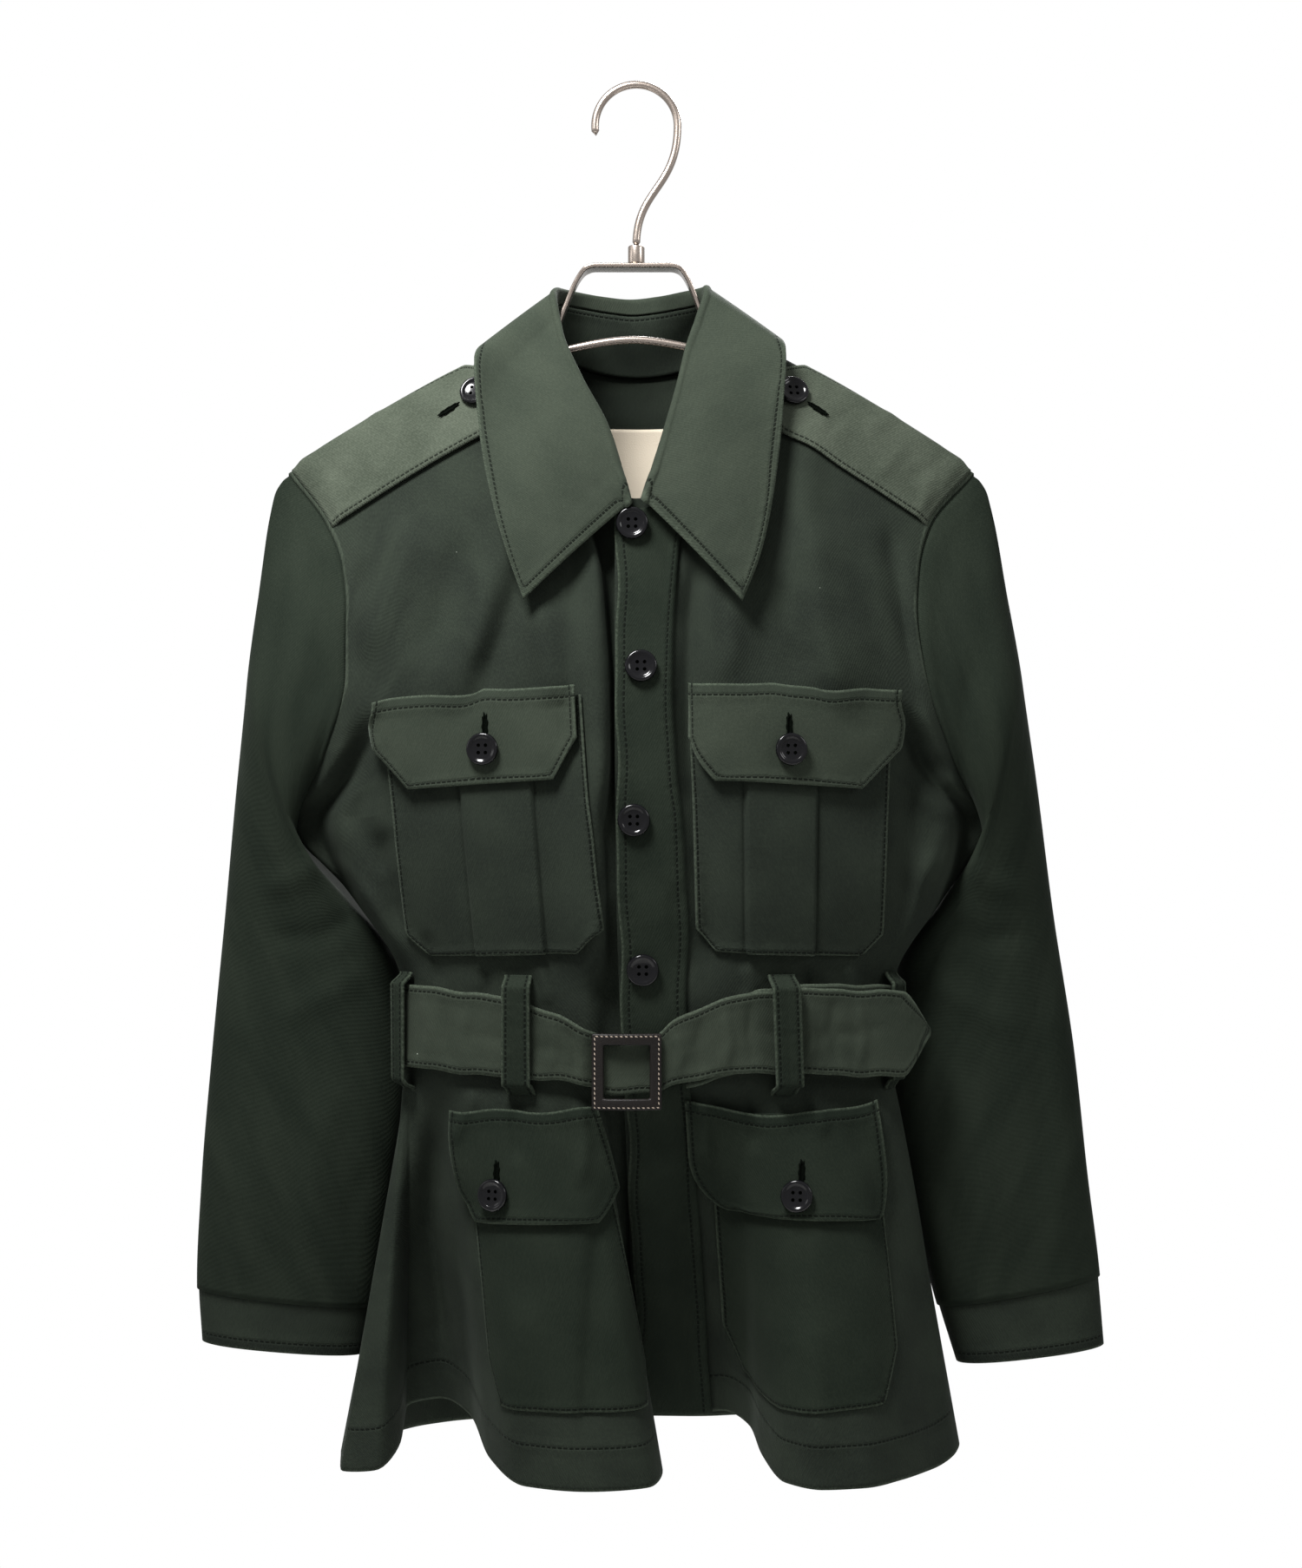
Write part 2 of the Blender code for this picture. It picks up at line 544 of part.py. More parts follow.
def belt_path(around, out):
    """A plan point of the belt's path, and so of what goes round the belt."""
    at = np.asarray(around, float)
    level = np.full_like(at, BELT_HEIGHT)
    right = front(RIGHT, 0.14 + 0.86 * np.clip(at / 0.25, 0, 1), level)
    behind = back(np.clip((at - 0.5) / 0.25, -1, 1), level)
    left = front(LEFT, 0.14 + 0.86 * np.clip((1 - at) / 0.25, 0, 1), level)
    ring = np.where((at < 0.25)[..., None], right, np.where((at > 0.75)[..., None], left, behind))
    flat = ring[..., :2] - np.array(BELT_CENTRE)
    grown = 1 + np.asarray(out)[..., None] / np.linalg.norm(flat, axis=-1, keepdims=True)
    return np.array(BELT_CENTRE) + flat * grown


def shoulder(side, k, across):
    """A point over the shoulder seam: k runs from the neck to the armhole, across is the distance
    over the cloth, forwards where it is negative."""
    k, across = np.broadcast_arrays(np.asarray(k, float), np.asarray(across, float))
    u = NECK_SHARE + (1 - NECK_SHARE) * k
    heights = SHOULDER_TIP - (SHOULDER_TIP - ARMPIT) * np.linspace(0, 0.62, 63) ** 1.6
    found = np.zeros(k.shape + (3,))
    for i in np.ndindex(k.shape):
        if across[i] < 0:
            run = front(side, np.full(63, u[i]), heights)
        else:
            run = back(np.full(63, side * u[i]), heights)
        length = np.concatenate([[0], np.cumsum(np.linalg.norm(np.diff(run, axis=0), axis=1))])
        found[i] = [np.interp(abs(across[i]), length, run[:, axis]) for axis in range(3)]
    return found


def on_shoulder(side, k, across, out):
    return raised(lambda a, b: shoulder(side, a, b), k, across, side * np.asarray(out), 0.01, 1.5)


def material(name, colour, roughness, metallic=0.0):
    found = bpy.data.materials.get(name)
    if found:
        return found
    made = bpy.data.materials.new(name)
    made.use_nodes = True
    shader = made.node_tree.nodes["Principled BSDF"]
    shader.inputs["Base Color"].default_value = (*colour, 1)
    shader.inputs["Roughness"].default_value = roughness
    shader.inputs["Metallic"].default_value = metallic
    made.diffuse_color = (*colour, 1)
    return made


FINISHES = {
    "cloth": ("green cotton twill", GREEN, 0.85, 0.0),
    "button": ("black gloss plastic", BLACK, 0.15, 0.0),
    "leather": ("brown black leather", BROWN, 0.45, 0.0),
    "label": ("cream label tape", CREAM, 0.8, 0.0),
    "steel": ("satin nickel steel", STEEL, 0.3, 1.0),
}


def finish(name, mesh, look):
    """Make the named object from a bmesh in millimetres."""
    bmesh.ops.scale(mesh, vec=(MM, MM, MM), verts=mesh.verts)
    data = bpy.data.meshes.new(name)
    mesh.to_mesh(data)
    mesh.free()
    piece = bpy.data.objects.new(name, data)
    bpy.context.scene.collection.objects.link(piece)
    data.materials.append(material(*FINISHES[look]))
    data.shade_smooth()
    data.set_sharp_from_angle(angle=math.radians(40))
    return piece


def sheet(name, columns, rows, place, wall=CLOTH, closed=False, look="cloth", flip=False):
    """A cloth piece: a grid of points from place(u, v), both 0 to 1, given a wall."""
    mesh = bmesh.new()
    bmesh.ops.create_grid(mesh, x_segments=columns, y_segments=rows, size=1)
    grid = np.array([vertex.co[:] for vertex in mesh.verts])
    u, v = (grid[:, 0] + 1) / 2, (grid[:, 1] + 1) / 2
    for vertex, spot in zip(mesh.verts, place(u, v)):
        vertex.co = spot
    if closed:
        bmesh.ops.remove_doubles(mesh, verts=mesh.verts, dist=0.001)
    if flip:
        bmesh.ops.reverse_faces(mesh, faces=mesh.faces)
    piece = finish(name, mesh, look)
    solid = piece.modifiers.new("wall", "SOLIDIFY")
    solid.thickness = wall * MM
    solid.offset = 0
    return piece


def button(name, place, out, radius=BUTTON_RADIUS):
    """A round button with a raised rim; place(out) is the cloth's point under it, moved out."""
    centre = place(out)[0]
    facing = place(out + 1.0)[0] - centre
    mesh = bmesh.new()
    profile = ((0.0, 0.0), (0.9, 0.0), (1.0, 0.5), (0.86, 1.0), (0.62, 0.70), (0.0, 0.70))
    corners = [mesh.verts.new((radius * across, 0, BUTTON_WALL * up)) for across, up in profile]
    edges = [mesh.edges.new(pair) for pair in zip(corners, corners[1:])]
    bmesh.ops.spin(mesh, geom=corners + edges, axis=(0, 0, 1), cent=(0, 0, 0), steps=12,
                   angle=2 * math.pi, use_merge=True)
    bmesh.ops.remove_doubles(mesh, verts=mesh.verts, dist=0.001)
    bmesh.ops.recalc_face_normals(mesh, faces=mesh.faces)
    z = facing / np.linalg.norm(facing)
    x = np.cross((0, 0, 1), z)
    x = x / np.linalg.norm(x)
    turned = np.stack([x, np.cross(z, x), z], 1)
    for vertex in mesh.verts:
        vertex.co = turned @ np.array(vertex.co) + centre
    return finish(name, mesh, "button")


def build_body():
    rows = LOWER_ROWS + ARMHOLE_ROWS

    def height(v):
        up = np.clip((v * rows - LOWER_ROWS) / ARMHOLE_ROWS, 0, 1)
        down = np.clip(v * rows / LOWER_ROWS, 0, 1)
        return HEM + (ARMPIT - HEM) * down + (SHOULDER_TIP - ARMPIT) * (1 - np.cos(math.pi * up)) / 2

    def reach(h):
        near_armpit = np.exp(-(((h - ARMPIT - 12) / 14) ** 2))
        return 1 - SEAM_TRIM - ARMHOLE_TRIM * ease(ARMPIT - 15, ARMPIT, h) - ARMPIT_TRIM * near_armpit

    def right_front(u, v):
        return front(RIGHT, u * reach(height(v)), height(v))

    def left_front(u, v):
        return front(LEFT, u * reach(height(v)), height(v))

    def whole_back(u, v):
        return back((2 * u - 1) * reach(height(v)), height(v))

    def placket(u, v):
        across = PLACKET_SHARES[0] + (PLACKET_SHARES[1] - PLACKET_SHARES[0]) * u
        return on_front(LEFT, across, height(v * (rows - 1) / rows) + (1 - v), LAYER)

    sheet("right_front", 26, rows, right_front)
    sheet("left_front", 26, rows, left_front)
    sheet("back", 22, rows, whole_back)
    sheet("placket", 4, rows - 1, placket)


def build_sleeves():
    for side in (RIGHT, LEFT):
        def tube(u, v):
            return sleeve(side, u, (CUFF_START - CUFF_GAP) * v)

        def cuff(u, v):
            return on_sleeve(side, u, CUFF_START + (1 - CUFF_START) * v, CUFF_OUT)

        def button_place(out):
            v, s = CUFF_BUTTON[side]
            return on_sleeve(side, np.array([v]), np.array([s]), np.array([out]))

        sheet(NAME[side] + "_sleeve", 16, 14, tube, closed=True, flip=side == LEFT)
        sheet(NAME[side] + "_cuff", 16, 2, cuff, closed=True, flip=side == LEFT)
        button(NAME[side] + "_cuff_button", button_place, CUFF_OUT + CUFF_BUTTON_RISE)


def build_collar():
    sheet("collar_stand", 24, 2, lambda u, v: collar_stand(0.03 + 0.94 * u, v))
    sheet("collar_fall", 24, 7, lambda u, v: collar_fall(u, v))


def build_chest():
    for side in (RIGHT, LEFT):
        first, last = PLEAT[side]
        columns = (0, first / 2, first, first + PLEAT_EDGE, (first + last) / 2, last - PLEAT_EDGE, last,
                   (1 + last) / 2, 1)

        def pocket(s, t):
            s = np.interp(s, np.linspace(0, 1, len(columns)), columns)
            pleat = (s > first + PLEAT_EDGE / 2) & (s < last - PLEAT_EDGE / 2)
            x, z = cut_panel(CHEST_POCKET[side], s, t, CHEST_WIDTH)
            return chest_point(side, x, z, CHEST_POCKET_OUT + PLEAT_OUT * pleat)

        def flap(s, t):
            x, z = cut_panel(CHEST_FLAP[side], s, t, CHEST_WIDTH)
            return chest_point(side, x, z, CHEST_FLAP_OUT + 0 * s)

        def button_place(out):
            x, z = np.array(CHEST_BUTTON[side], float)[:, None]
            return chest_point(side, x, z, np.array([out]))

        sheet(NAME[side] + "_chest_pocket", len(columns) - 1, 8, pocket, flip=side == LEFT)
        sheet(NAME[side] + "_chest_flap", 8, 4, flap, flip=side == LEFT)
        button(NAME[side] + "_chest_button", button_place, CHEST_FLAP_OUT + BUTTON_RISE)


def build_skirt():
    for side in (RIGHT, LEFT):
        def pocket(s, t):
            u, h = cut_panel(SKIRT_POCKET[side], s, t, 1)
            return on_front(side, u, h, POCKET_OUT + 0 * s)

        def flap(s, t):
            u, h = cut_panel(SKIRT_FLAP[side], s, t, 1)
            return on_front(side, u, h, SKIRT_FLAP_OUT + 0 * s)

        def button_place(out):
            u, h = np.array(SKIRT_BUTTON[side], float)[:, None]
            return on_front(side, u, h, np.array([out]))

        sheet(NAME[side] + "_skirt_pocket", 10, 8, pocket, flip=side == LEFT)
        sheet(NAME[side] + "_skirt_flap", 10, 4, flap, flip=side == LEFT)
        button(NAME[side] + "_skirt_button", button_place, SKIRT_FLAP_OUT + BUTTON_RISE)


def build_front_buttons():
    for number, (x, z) in enumerate(FRONT_BUTTONS, 1):
        def place(out):
            return chest_point(LEFT, np.array([x], float), np.array([z], float), np.array([out]))
        button(f"front_button_{number}", place, LAYER + BUTTON_RISE)


def build_epaulettes():
    for side in (RIGHT, LEFT):
        def place(u, v):
            k = EPAULETTE_ENDS[0] + (EPAULETTE_ENDS[1] - EPAULETTE_ENDS[0]) * u
            low = EPAULETTE_FRONT[0] + (EPAULETTE_FRONT[1] - EPAULETTE_FRONT[0]) * u
            high = EPAULETTE_BACK[0] + (EPAULETTE_BACK[1] - EPAULETTE_BACK[0]) * u
            wide = EPAULETTE_POINT_WIDTH + (1 - EPAULETTE_POINT_WIDTH) * np.clip(u / EPAULETTE_POINT, 0, 1)
            middle, half = (low + high) / 2, (high - low) / 2 * wide
            low, high = middle - half, middle + half
            ridge = np.minimum(high - 2, 0)
            rows_down = np.clip(1 - v / EPAULETTE_RIDGE, 0, 1) ** 1.5
            over = np.clip((v - EPAULETTE_RIDGE) / (1 - EPAULETTE_RIDGE), 0, 1)
            across = ridge + (low - ridge) * rows_down + (high - ridge) * over
            return on_shoulder(side, k, across, EPAULETTE_OUT + 0 * u)

        def button_place(out):
            k, across = EPAULETTE_BUTTON
            return on_shoulder(side, np.array([k]), np.array([across]), np.array([out]))

        sheet(NAME[side] + "_epaulette", 9, 6, place, flip=side == RIGHT)
        button(NAME[side] + "_epaulette_button", button_place, EPAULETTE_OUT + BUTTON_RISE)


def build_badges():
    """The round-ended patch and the curved flash on the outside of the right sleeve, and the
    label inside the back of the neck."""
    def patch(u, v):
        a, b = 2 * u - 1, 2 * v - 1
        across, down = a * np.sqrt(1 - b * b / 2), b * np.sqrt(1 - a * a / 2)
        middle, level, half_round, half_down = PATCH
        return on_sleeve(RIGHT, middle + half_round * across, level + half_down * down, BADGE_OUT + 0 * u)

    def flash(u, v):
        first, last, top, tall, bow = FLASH
        down = top + tall * (1 - v) + bow * (2 * u - 1) ** 2
        return on_sleeve(RIGHT, first + (last - first) * u, down, FLASH_OUT + 0 * u)

    def label(u, v):
        left, right, low, high = LABEL
        x, z = left + (right - left) * u, low + (high - low) * v
        at, h = seen_at(back, x, z, x / 190, z - 50)
        return raised(back, at, h, LABEL_OUT + 0 * u)

    sheet("sleeve_patch", 6, 6, patch)
    sheet("shoulder_flash", 6, 2, flash)
    sheet("neck_label", 4, 3, label, wall=1.0, look="label")


def build_loops():
    for name, side, at, out in LOOPS[1:]:
        def place(u, v):
            h = LOOP_BOTTOM + (LOOP_TOP - LOOP_BOTTOM) * v
            lift = LOOP_FOOT + (out - LOOP_FOOT) * ease(0.0, 0.1, v) * (1 - ease(0.9, 1.0, v))
            return on_front(side, at + LOOP_SHARE * (2 * u - 1), h, lift)
        sheet(name + "_belt_loop", 1, 12, place, wall=LOOP_WALL, flip=side == RIGHT)


def build_belt():
    def band(u, v):
        plan = belt_path(u, BELT_OUT + 0 * u)
        bottom, top = BELT_LINES["bottom"](u), BELT_LINES["top"](u)
        return point(plan[:, 0], plan[:, 1], bottom + (top - bottom) * v)

    def free_end(u, v):
        line = {name: read(u) for name, read in FREE_END_LINES.items()}
        return point(line["x"], line["y"], line["bottom"] + (line["top"] - line["bottom"]) * v)

    sheet("belt", 44, 2, band, wall=BELT_WALL)
    sheet("belt_free_end", 12, 2, free_end, wall=BELT_WALL)


def build_buckle():
    """A square frame, a little bowed, whose slot shows the belt behind it."""
    mesh = bmesh.new()
    bmesh.ops.create_grid(mesh, x_segments=5, y_segments=3, size=1)
    wide, tall = BUCKLE_SIZE
    across = np.array([-wide / 2, BUCKLE_RAIL - wide / 2, -3, 3, wide / 2 - BUCKLE_RAIL, wide / 2])
    up = np.array([-tall / 2, BUCKLE_RAIL - tall / 2, tall / 2 - BUCKLE_RAIL, tall / 2])
    for vertex in mesh.verts:
        x = across[round((vertex.co.x + 1) / 2 * 5)]
        z = up[round((vertex.co.y + 1) / 2 * 3)]
        crest = BUCKLE_CREST * (2 * x / wide) ** 2
        vertex.co = (BUCKLE_CENTRE[0] + x, BUCKLE_CENTRE[1] + crest, BUCKLE_CENTRE[2] + z)
    inner = (BUCKLE_CENTRE[0], wide / 2 - BUCKLE_RAIL, BUCKLE_CENTRE[2], tall / 2 - BUCKLE_RAIL)
    slot = [face for face in mesh.faces if in_slot(face.calc_center_median(), *inner)]
    bmesh.ops.delete(mesh, geom=slot, context="FACES")
    piece = finish("buckle", mesh, "leather")
    solid = piece.modifiers.new("wall", "SOLIDIFY")
    solid.thickness = BUCKLE_WALL * MM
    solid.offset = 0


def in_slot(centre, x, half_wide, z, half_tall):
    return abs(centre.x - x) < half_wide and abs(centre.z - z) < half_tall


def build_hanger():
    turn = np.radians(np.arange(-10, 181, 10))
    bend = [(HOOK_X - BEND * math.cos(a), WIRE - BEND + BEND * math.sin(a)) for a in turn]
    start, end = np.array([HOOK_X + BEND, WIRE - BEND]), np.array([HOOK_X, FERRULE[2] + FERRULE_GAP])
    pulls = (start, start + (0, -HOOK_PULL[0]), end + (0, HOOK_PULL[1]), end)
    neck = []
    for t in np.linspace(0.1, 1, 10):
        shares = ((1 - t) ** 3, 3 * t * (1 - t) ** 2, 3 * t * t * (1 - t), t**3)
        neck.append(sum(share * pull for share, pull in zip(shares, pulls)))
    wire("hanger_hook", [(x, SHOULDER_DEPTH, z) for x, z in bend + neck])
    arms = curves(ARMS)
    along = np.linspace(0, 1, 27)
    wire("hanger_arms", [(x, SHOULDER_DEPTH, z) for x, z in zip(arms["x"](along), arms["z"](along))])
    strap = curves(STRAP)

    def strip(u, v):
        return point(strap["x"](u), SHOULDER_DEPTH + strap["half_depth"](u) * (2 * v - 1), strap["z"](u))

    mesh = bmesh.new()
    radius, low, high = FERRULE
    bmesh.ops.create_cone(mesh, cap_ends=True, segments=14, radius1=radius, radius2=radius, depth=high - low)
    bmesh.ops.translate(mesh, vec=(HOOK_X, SHOULDER_DEPTH, (low + high) / 2), verts=mesh.verts)
    finish("hanger_ferrule", mesh, "steel")
    sheet("hanger_frame", 28, 1, strip, wall=STRAP_WALL, look="steel", flip=True)


def wire(name, points, radius=WIRE):
    line = bpy.data.curves.new(name, "CURVE")
    line.dimensions = "3D"
    line.bevel_depth = radius * MM
    line.bevel_resolution = 2
    line.use_fill_caps = True
    run = line.splines.new("POLY")
    run.points.add(len(points) - 1)
    for spot, (x, y, z) in zip(run.points, points):
        spot.co = (x * MM, y * MM, z * MM, 1)
    line.materials.append(material(*FINISHES["steel"]))
    piece = bpy.data.objects.new(name, line)
    bpy.context.scene.collection.objects.link(piece)


for old in list(bpy.data.objects):
    bpy.data.objects.remove(old)
build_body()
build_sleeves()
build_collar()
build_chest()
build_skirt()
build_front_buttons()
build_epaulettes()
build_badges()
build_belt()
build_loops()
build_buckle()
build_hanger()
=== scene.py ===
"""How a belted four-pocket military jacket on its steel hanger looks.

Millimetres in the tables, metres in the scene. +X is the wearer's left, -Y the front, +Z up.
Each cloth panel is a function of two numbers: u runs across the cloth, h is the height.
"""

import math

import bmesh
import bpy
import numpy as np
from mathutils import Matrix, Vector


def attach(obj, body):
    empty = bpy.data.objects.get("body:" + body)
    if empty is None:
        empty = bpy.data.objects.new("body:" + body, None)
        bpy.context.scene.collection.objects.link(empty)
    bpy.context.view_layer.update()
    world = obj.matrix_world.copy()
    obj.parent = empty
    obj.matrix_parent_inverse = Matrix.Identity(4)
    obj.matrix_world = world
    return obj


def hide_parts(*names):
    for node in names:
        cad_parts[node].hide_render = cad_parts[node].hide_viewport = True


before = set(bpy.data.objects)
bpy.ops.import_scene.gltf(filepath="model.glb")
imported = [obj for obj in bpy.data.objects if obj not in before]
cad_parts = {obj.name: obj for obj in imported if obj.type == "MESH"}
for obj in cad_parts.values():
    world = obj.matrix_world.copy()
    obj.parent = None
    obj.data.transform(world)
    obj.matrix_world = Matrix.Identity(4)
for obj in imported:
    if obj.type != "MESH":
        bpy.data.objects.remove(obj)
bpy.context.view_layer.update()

# The hanger. A round wire bent into a hook, a ferrule, a pressed steel strap over the neck and a
# long arm of the same wire, all nickelled. It carries the jacket by the shoulders.
MM = 0.001
WIRE = 2.35
BEND = 24.7
HOOK_X = 0.0
HOOK_DEPTH = 0.0
HOOK_PULL = (38, 34)
HOOK_TURN = (-10, 190)
HOOK_SHARE = 0.55
FERRULE = (5.0, -105.5, -94.3)
FERRULE_ROUND = 1.1
STRAP_WALL = 2.6
STRAP_ROUND = 0.7
STRAP = (
    ("along", "x", "z", "half_depth"),
    (0.00, -49.5, -150, 5), (0.20, -42.5, -131, 5), (0.36, -34, -113, 7), (0.41, -29.5, -108.5, 9),
    (0.46, -24, -107.2, 9), (0.54, 20, -107.2, 9), (0.59, 25.5, -108.5, 9), (0.64, 29.5, -113, 7),
    (0.80, 37.5, -131, 5), (1.00, 44.5, -150, 5),
)
ARMS = (
    ("along", "x", "z"),
    (0.00, -184, -224), (0.13, -140, -196.6), (0.24, -100, -174.2), (0.32, -75, -164.5),
    (0.40, -50, -158.2), (0.50, -2, -150.5), (0.60, 46, -158.2), (0.68, 71, -164.5),
    (0.76, 96, -174.2), (0.87, 135, -196.6), (1.00, 178, -224),
)
NICKEL = "#7f766f"
NICKEL_ROUGH = 0.27


def curve(table, column):
    """One column of a table as a smooth curve against its first column, with no overshoot."""
    at = np.array([row[0] for row in table[1:]], float)
    value = np.array([row[table[0].index(column)] for row in table[1:]], float)
    step = np.diff(at)
    rise = np.diff(value) / step
    slope = np.concatenate([rise[:1], np.zeros(len(at) - 2), rise[-1:]])
    same = rise[1:] * rise[:-1] > 0
    total = np.where(same, rise[1:] + rise[:-1], 1.0)
    slope[1:-1] = np.where(same, 2 * rise[1:] * rise[:-1] / total, 0.0)

    def read(x):
        x = np.clip(x, at[0], at[-1])
        i = np.clip(np.searchsorted(at, x, side="right") - 1, 0, len(step) - 1)
        t = (x - at[i]) / step[i]
        from_value = (1 + 2 * t) * (1 - t) ** 2 * value[i] + t * t * (3 - 2 * t) * value[i + 1]
        from_slope = t * (1 - t) ** 2 * slope[i] + t * t * (t - 1) * slope[i + 1]
        return from_value + from_slope * step[i]

    return read


def curves(table):
    return {name: curve(table, name) for name in table[0][1:]}


def point(x, y, z):
    return np.stack(np.broadcast_arrays(x, y, z), -1).astype(float)


def linear(colour):
    """An sRGB hex colour as linear light, with its alpha."""
    parts = [int(colour[i:i + 2], 16) / 255 for i in (1, 3, 5)]
    return [c / 12.92 if c <= 0.04045 else ((c + 0.055) / 1.055) ** 2.4 for c in parts] + [1.0]


def add(tree, kind, inputs=None, **settings):
    """One more node in a material: its settings, and its inputs as numbers or as links."""
    node = tree.nodes.new("ShaderNode" + kind)
    for name, value in settings.items():
        setattr(node, name, value)
    for name, value in (inputs or {}).items():
        if isinstance(value, bpy.types.NodeSocket):
            tree.links.new(value, node.inputs[name])
        else:
            node.inputs[name].default_value = value
    return node


def principled(name, colour, roughness, **values):
    """A new material with its plain values set on the shader; returns it, its tree and shader."""
    made = bpy.data.materials.new(name)
    made.use_nodes = True
    shader = made.node_tree.nodes["Principled BSDF"]
    shader.inputs["Base Color"].default_value = linear(colour)
    shader.inputs["Roughness"].default_value = roughness
    for socket, value in values.items():
        shader.inputs[socket.replace("_", " ")].default_value = value
    return made, made.node_tree, shader


def place_piece(piece, look, slot, *nodes):
    """Give a piece its material and its place in the frame."""
    piece.data.materials.append(look)
    piece.data.shade_smooth()
    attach(piece, "root")
    if nodes:
        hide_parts(*nodes)
    return piece


def linked(name, data):
    """A new object in the scene for a mesh, a lamp or a camera."""
    made = bpy.data.objects.new(name, data)
    bpy.context.scene.collection.objects.link(made)
    return made


def meshed(name, mesh):
    """A finished bmesh as an object in the scene."""
    data = bpy.data.meshes.new(name)
    mesh.to_mesh(data)
    mesh.free()
    return linked(name, data)


def outline_reach(cut, across, down, names):
    """Each point's distance from the named edges of the flat cut, and how far along them it is."""
    edge, run, past = np.full(len(cut), 1000.0), np.zeros(len(cut)), 0.0
    last_row, last_column = across.shape[0] - 1, across.shape[1] - 1
    sides = {"l": (slice(None), 0), "r": (slice(None), last_column), "b": (0, slice(None)),
             "t": (last_row, slice(None))}
    for name in names:
        outline = np.stack([across[sides[name]], down[sides[name]]], 1)
        for start, end in zip(outline, outline[1:]):
            step = end - start
            length = math.hypot(*step)
            if length < 1e-6:
                continue
            share = np.clip((cut - start) @ step / length**2, 0, 1)
            away = np.linalg.norm(cut - start - share[:, None] * step, axis=1)
            run = np.where(away < edge, past + share * length, run)
            edge = np.minimum(away, edge)
            past += length
    return edge, run


def grid(name, columns, rows, place, closed=False, flip=False, rim="", rows_sewn=()):
    """A grid of points in millimetres from place(u, v), both 0 to 1, with its flat cut as UV map.
    rim names the edges that wear pale (left, right, bottom, top); rows_sewn holds up to two rows
    of stitches, each as the edges that it follows and its distance from them."""
    mesh = bmesh.new()
    bmesh.ops.create_grid(mesh, x_segments=columns, y_segments=rows, size=1)
    flat = np.array([vertex.co[:] for vertex in mesh.verts])
    u, v = (flat[:, 0] + 1) / 2, (flat[:, 1] + 1) / 2
    spots = place(u, v)
    column, row = np.rint(u * columns).astype(int), np.rint(v * rows).astype(int)
    net = np.zeros((rows + 1, columns + 1, 3))
    net[row, column] = spots
    across = np.linalg.norm(np.diff(net, axis=1), axis=2)
    down = np.linalg.norm(np.diff(net, axis=0), axis=2)
    across = np.concatenate([np.zeros((rows + 1, 1)), np.cumsum(across, axis=1)], 1)
    across = across - across[:, columns // 2:columns // 2 + 1]
    down = np.concatenate([np.zeros((1, columns + 1)), np.cumsum(down, axis=0)], 0)
    cut = np.stack([across[row, column], down[row, column]], 1)
    values = {"rim": outline_reach(cut, across, down, rim)[0]}
    for number, (names, distance) in enumerate((tuple(rows_sewn) + (("", 0.0),) * 2)[:2], 1):
        edge, run = outline_reach(cut, across, down, names)
        values[f"off_{number}"] = edge - distance
        values[f"run_{number}"] = run
    uv = mesh.loops.layers.uv.new("cut")
    layers = {key: mesh.verts.layers.float.new(key) for key in values}
    for face in mesh.faces:
        for loop in face.loops:
            loop[uv].uv = cut[loop.vert.index] * MM
    for vertex, spot in zip(mesh.verts, spots):
        vertex.co = spot * MM
    for key, layer in layers.items():
        for vertex, value in zip(mesh.verts, values[key]):
            vertex[layer] = value
    if closed:
        bmesh.ops.remove_doubles(mesh, verts=mesh.verts, dist=0.00001)
    if flip:
        bmesh.ops.reverse_faces(mesh, faces=mesh.faces)
    return meshed(name, mesh)


def walled(piece, wall):
    solid = piece.modifiers.new("wall", "SOLIDIFY")
    solid.thickness = wall * MM
    solid.offset = 0
    return piece


def rounded_edges(piece, width, segments):
    bevel = piece.modifiers.new("rounded edges", "BEVEL")
    bevel.width = width * MM
    bevel.segments = segments


def wire(name, path, radius, along, around=20):
    """A round wire with rounded ends: path(t) gives its middle line, which lies in one plane."""
    cap = 0.004

    def skin(u, v):
        inside = np.clip(v, cap, 1 - cap)
        middle = path(inside)
        ahead = path(np.clip(inside + 0.002, 0, 1)) - path(np.clip(inside - 0.002, 0, 1))
        ahead = ahead / np.linalg.norm(ahead, axis=-1, keepdims=True)
        across = np.stack([-ahead[:, 2], 0 * inside, ahead[:, 0]], 1)
        past = (v - inside)[:, None] / cap
        thin = radius * np.sqrt(1 - np.clip(np.abs(past), 0, 1) ** 2)
        turn = 2 * math.pi * u[:, None]
        ring = across * np.cos(turn) + [0, 1, 0] * np.sin(turn)
        return middle + ahead * past * radius + thin * ring

    return grid(name, around, along, skin, closed=True)


# Satin nickel: a soft broad highlight, with fine drawn scratches that break it up.
nickel, tree, shader = principled("satin nickel steel", NICKEL, NICKEL_ROUGH, Metallic=1.0)
spot = add(tree, "TexCoord").outputs["Object"]
scratch = add(tree, "TexNoise", {"Vector": spot, "Scale": 900.0, "Detail": 3.0})
rough = add(tree, "MapRange", {"Value": scratch.outputs["Fac"], "To Min": 0.2, "To Max": 0.36})
tree.links.new(rough.outputs["Result"], shader.inputs["Roughness"])
bump = add(tree, "Bump", {"Height": scratch.outputs["Fac"], "Distance": 0.00003, "Strength": 0.5})
tree.links.new(bump.outputs["Normal"], shader.inputs["Normal"])

start, end = np.array([HOOK_X + BEND, WIRE - BEND]), np.array([HOOK_X, FERRULE[2] + 0.3])
pulls = (start, start + (0, -HOOK_PULL[0]), end + (0, HOOK_PULL[1]), end)


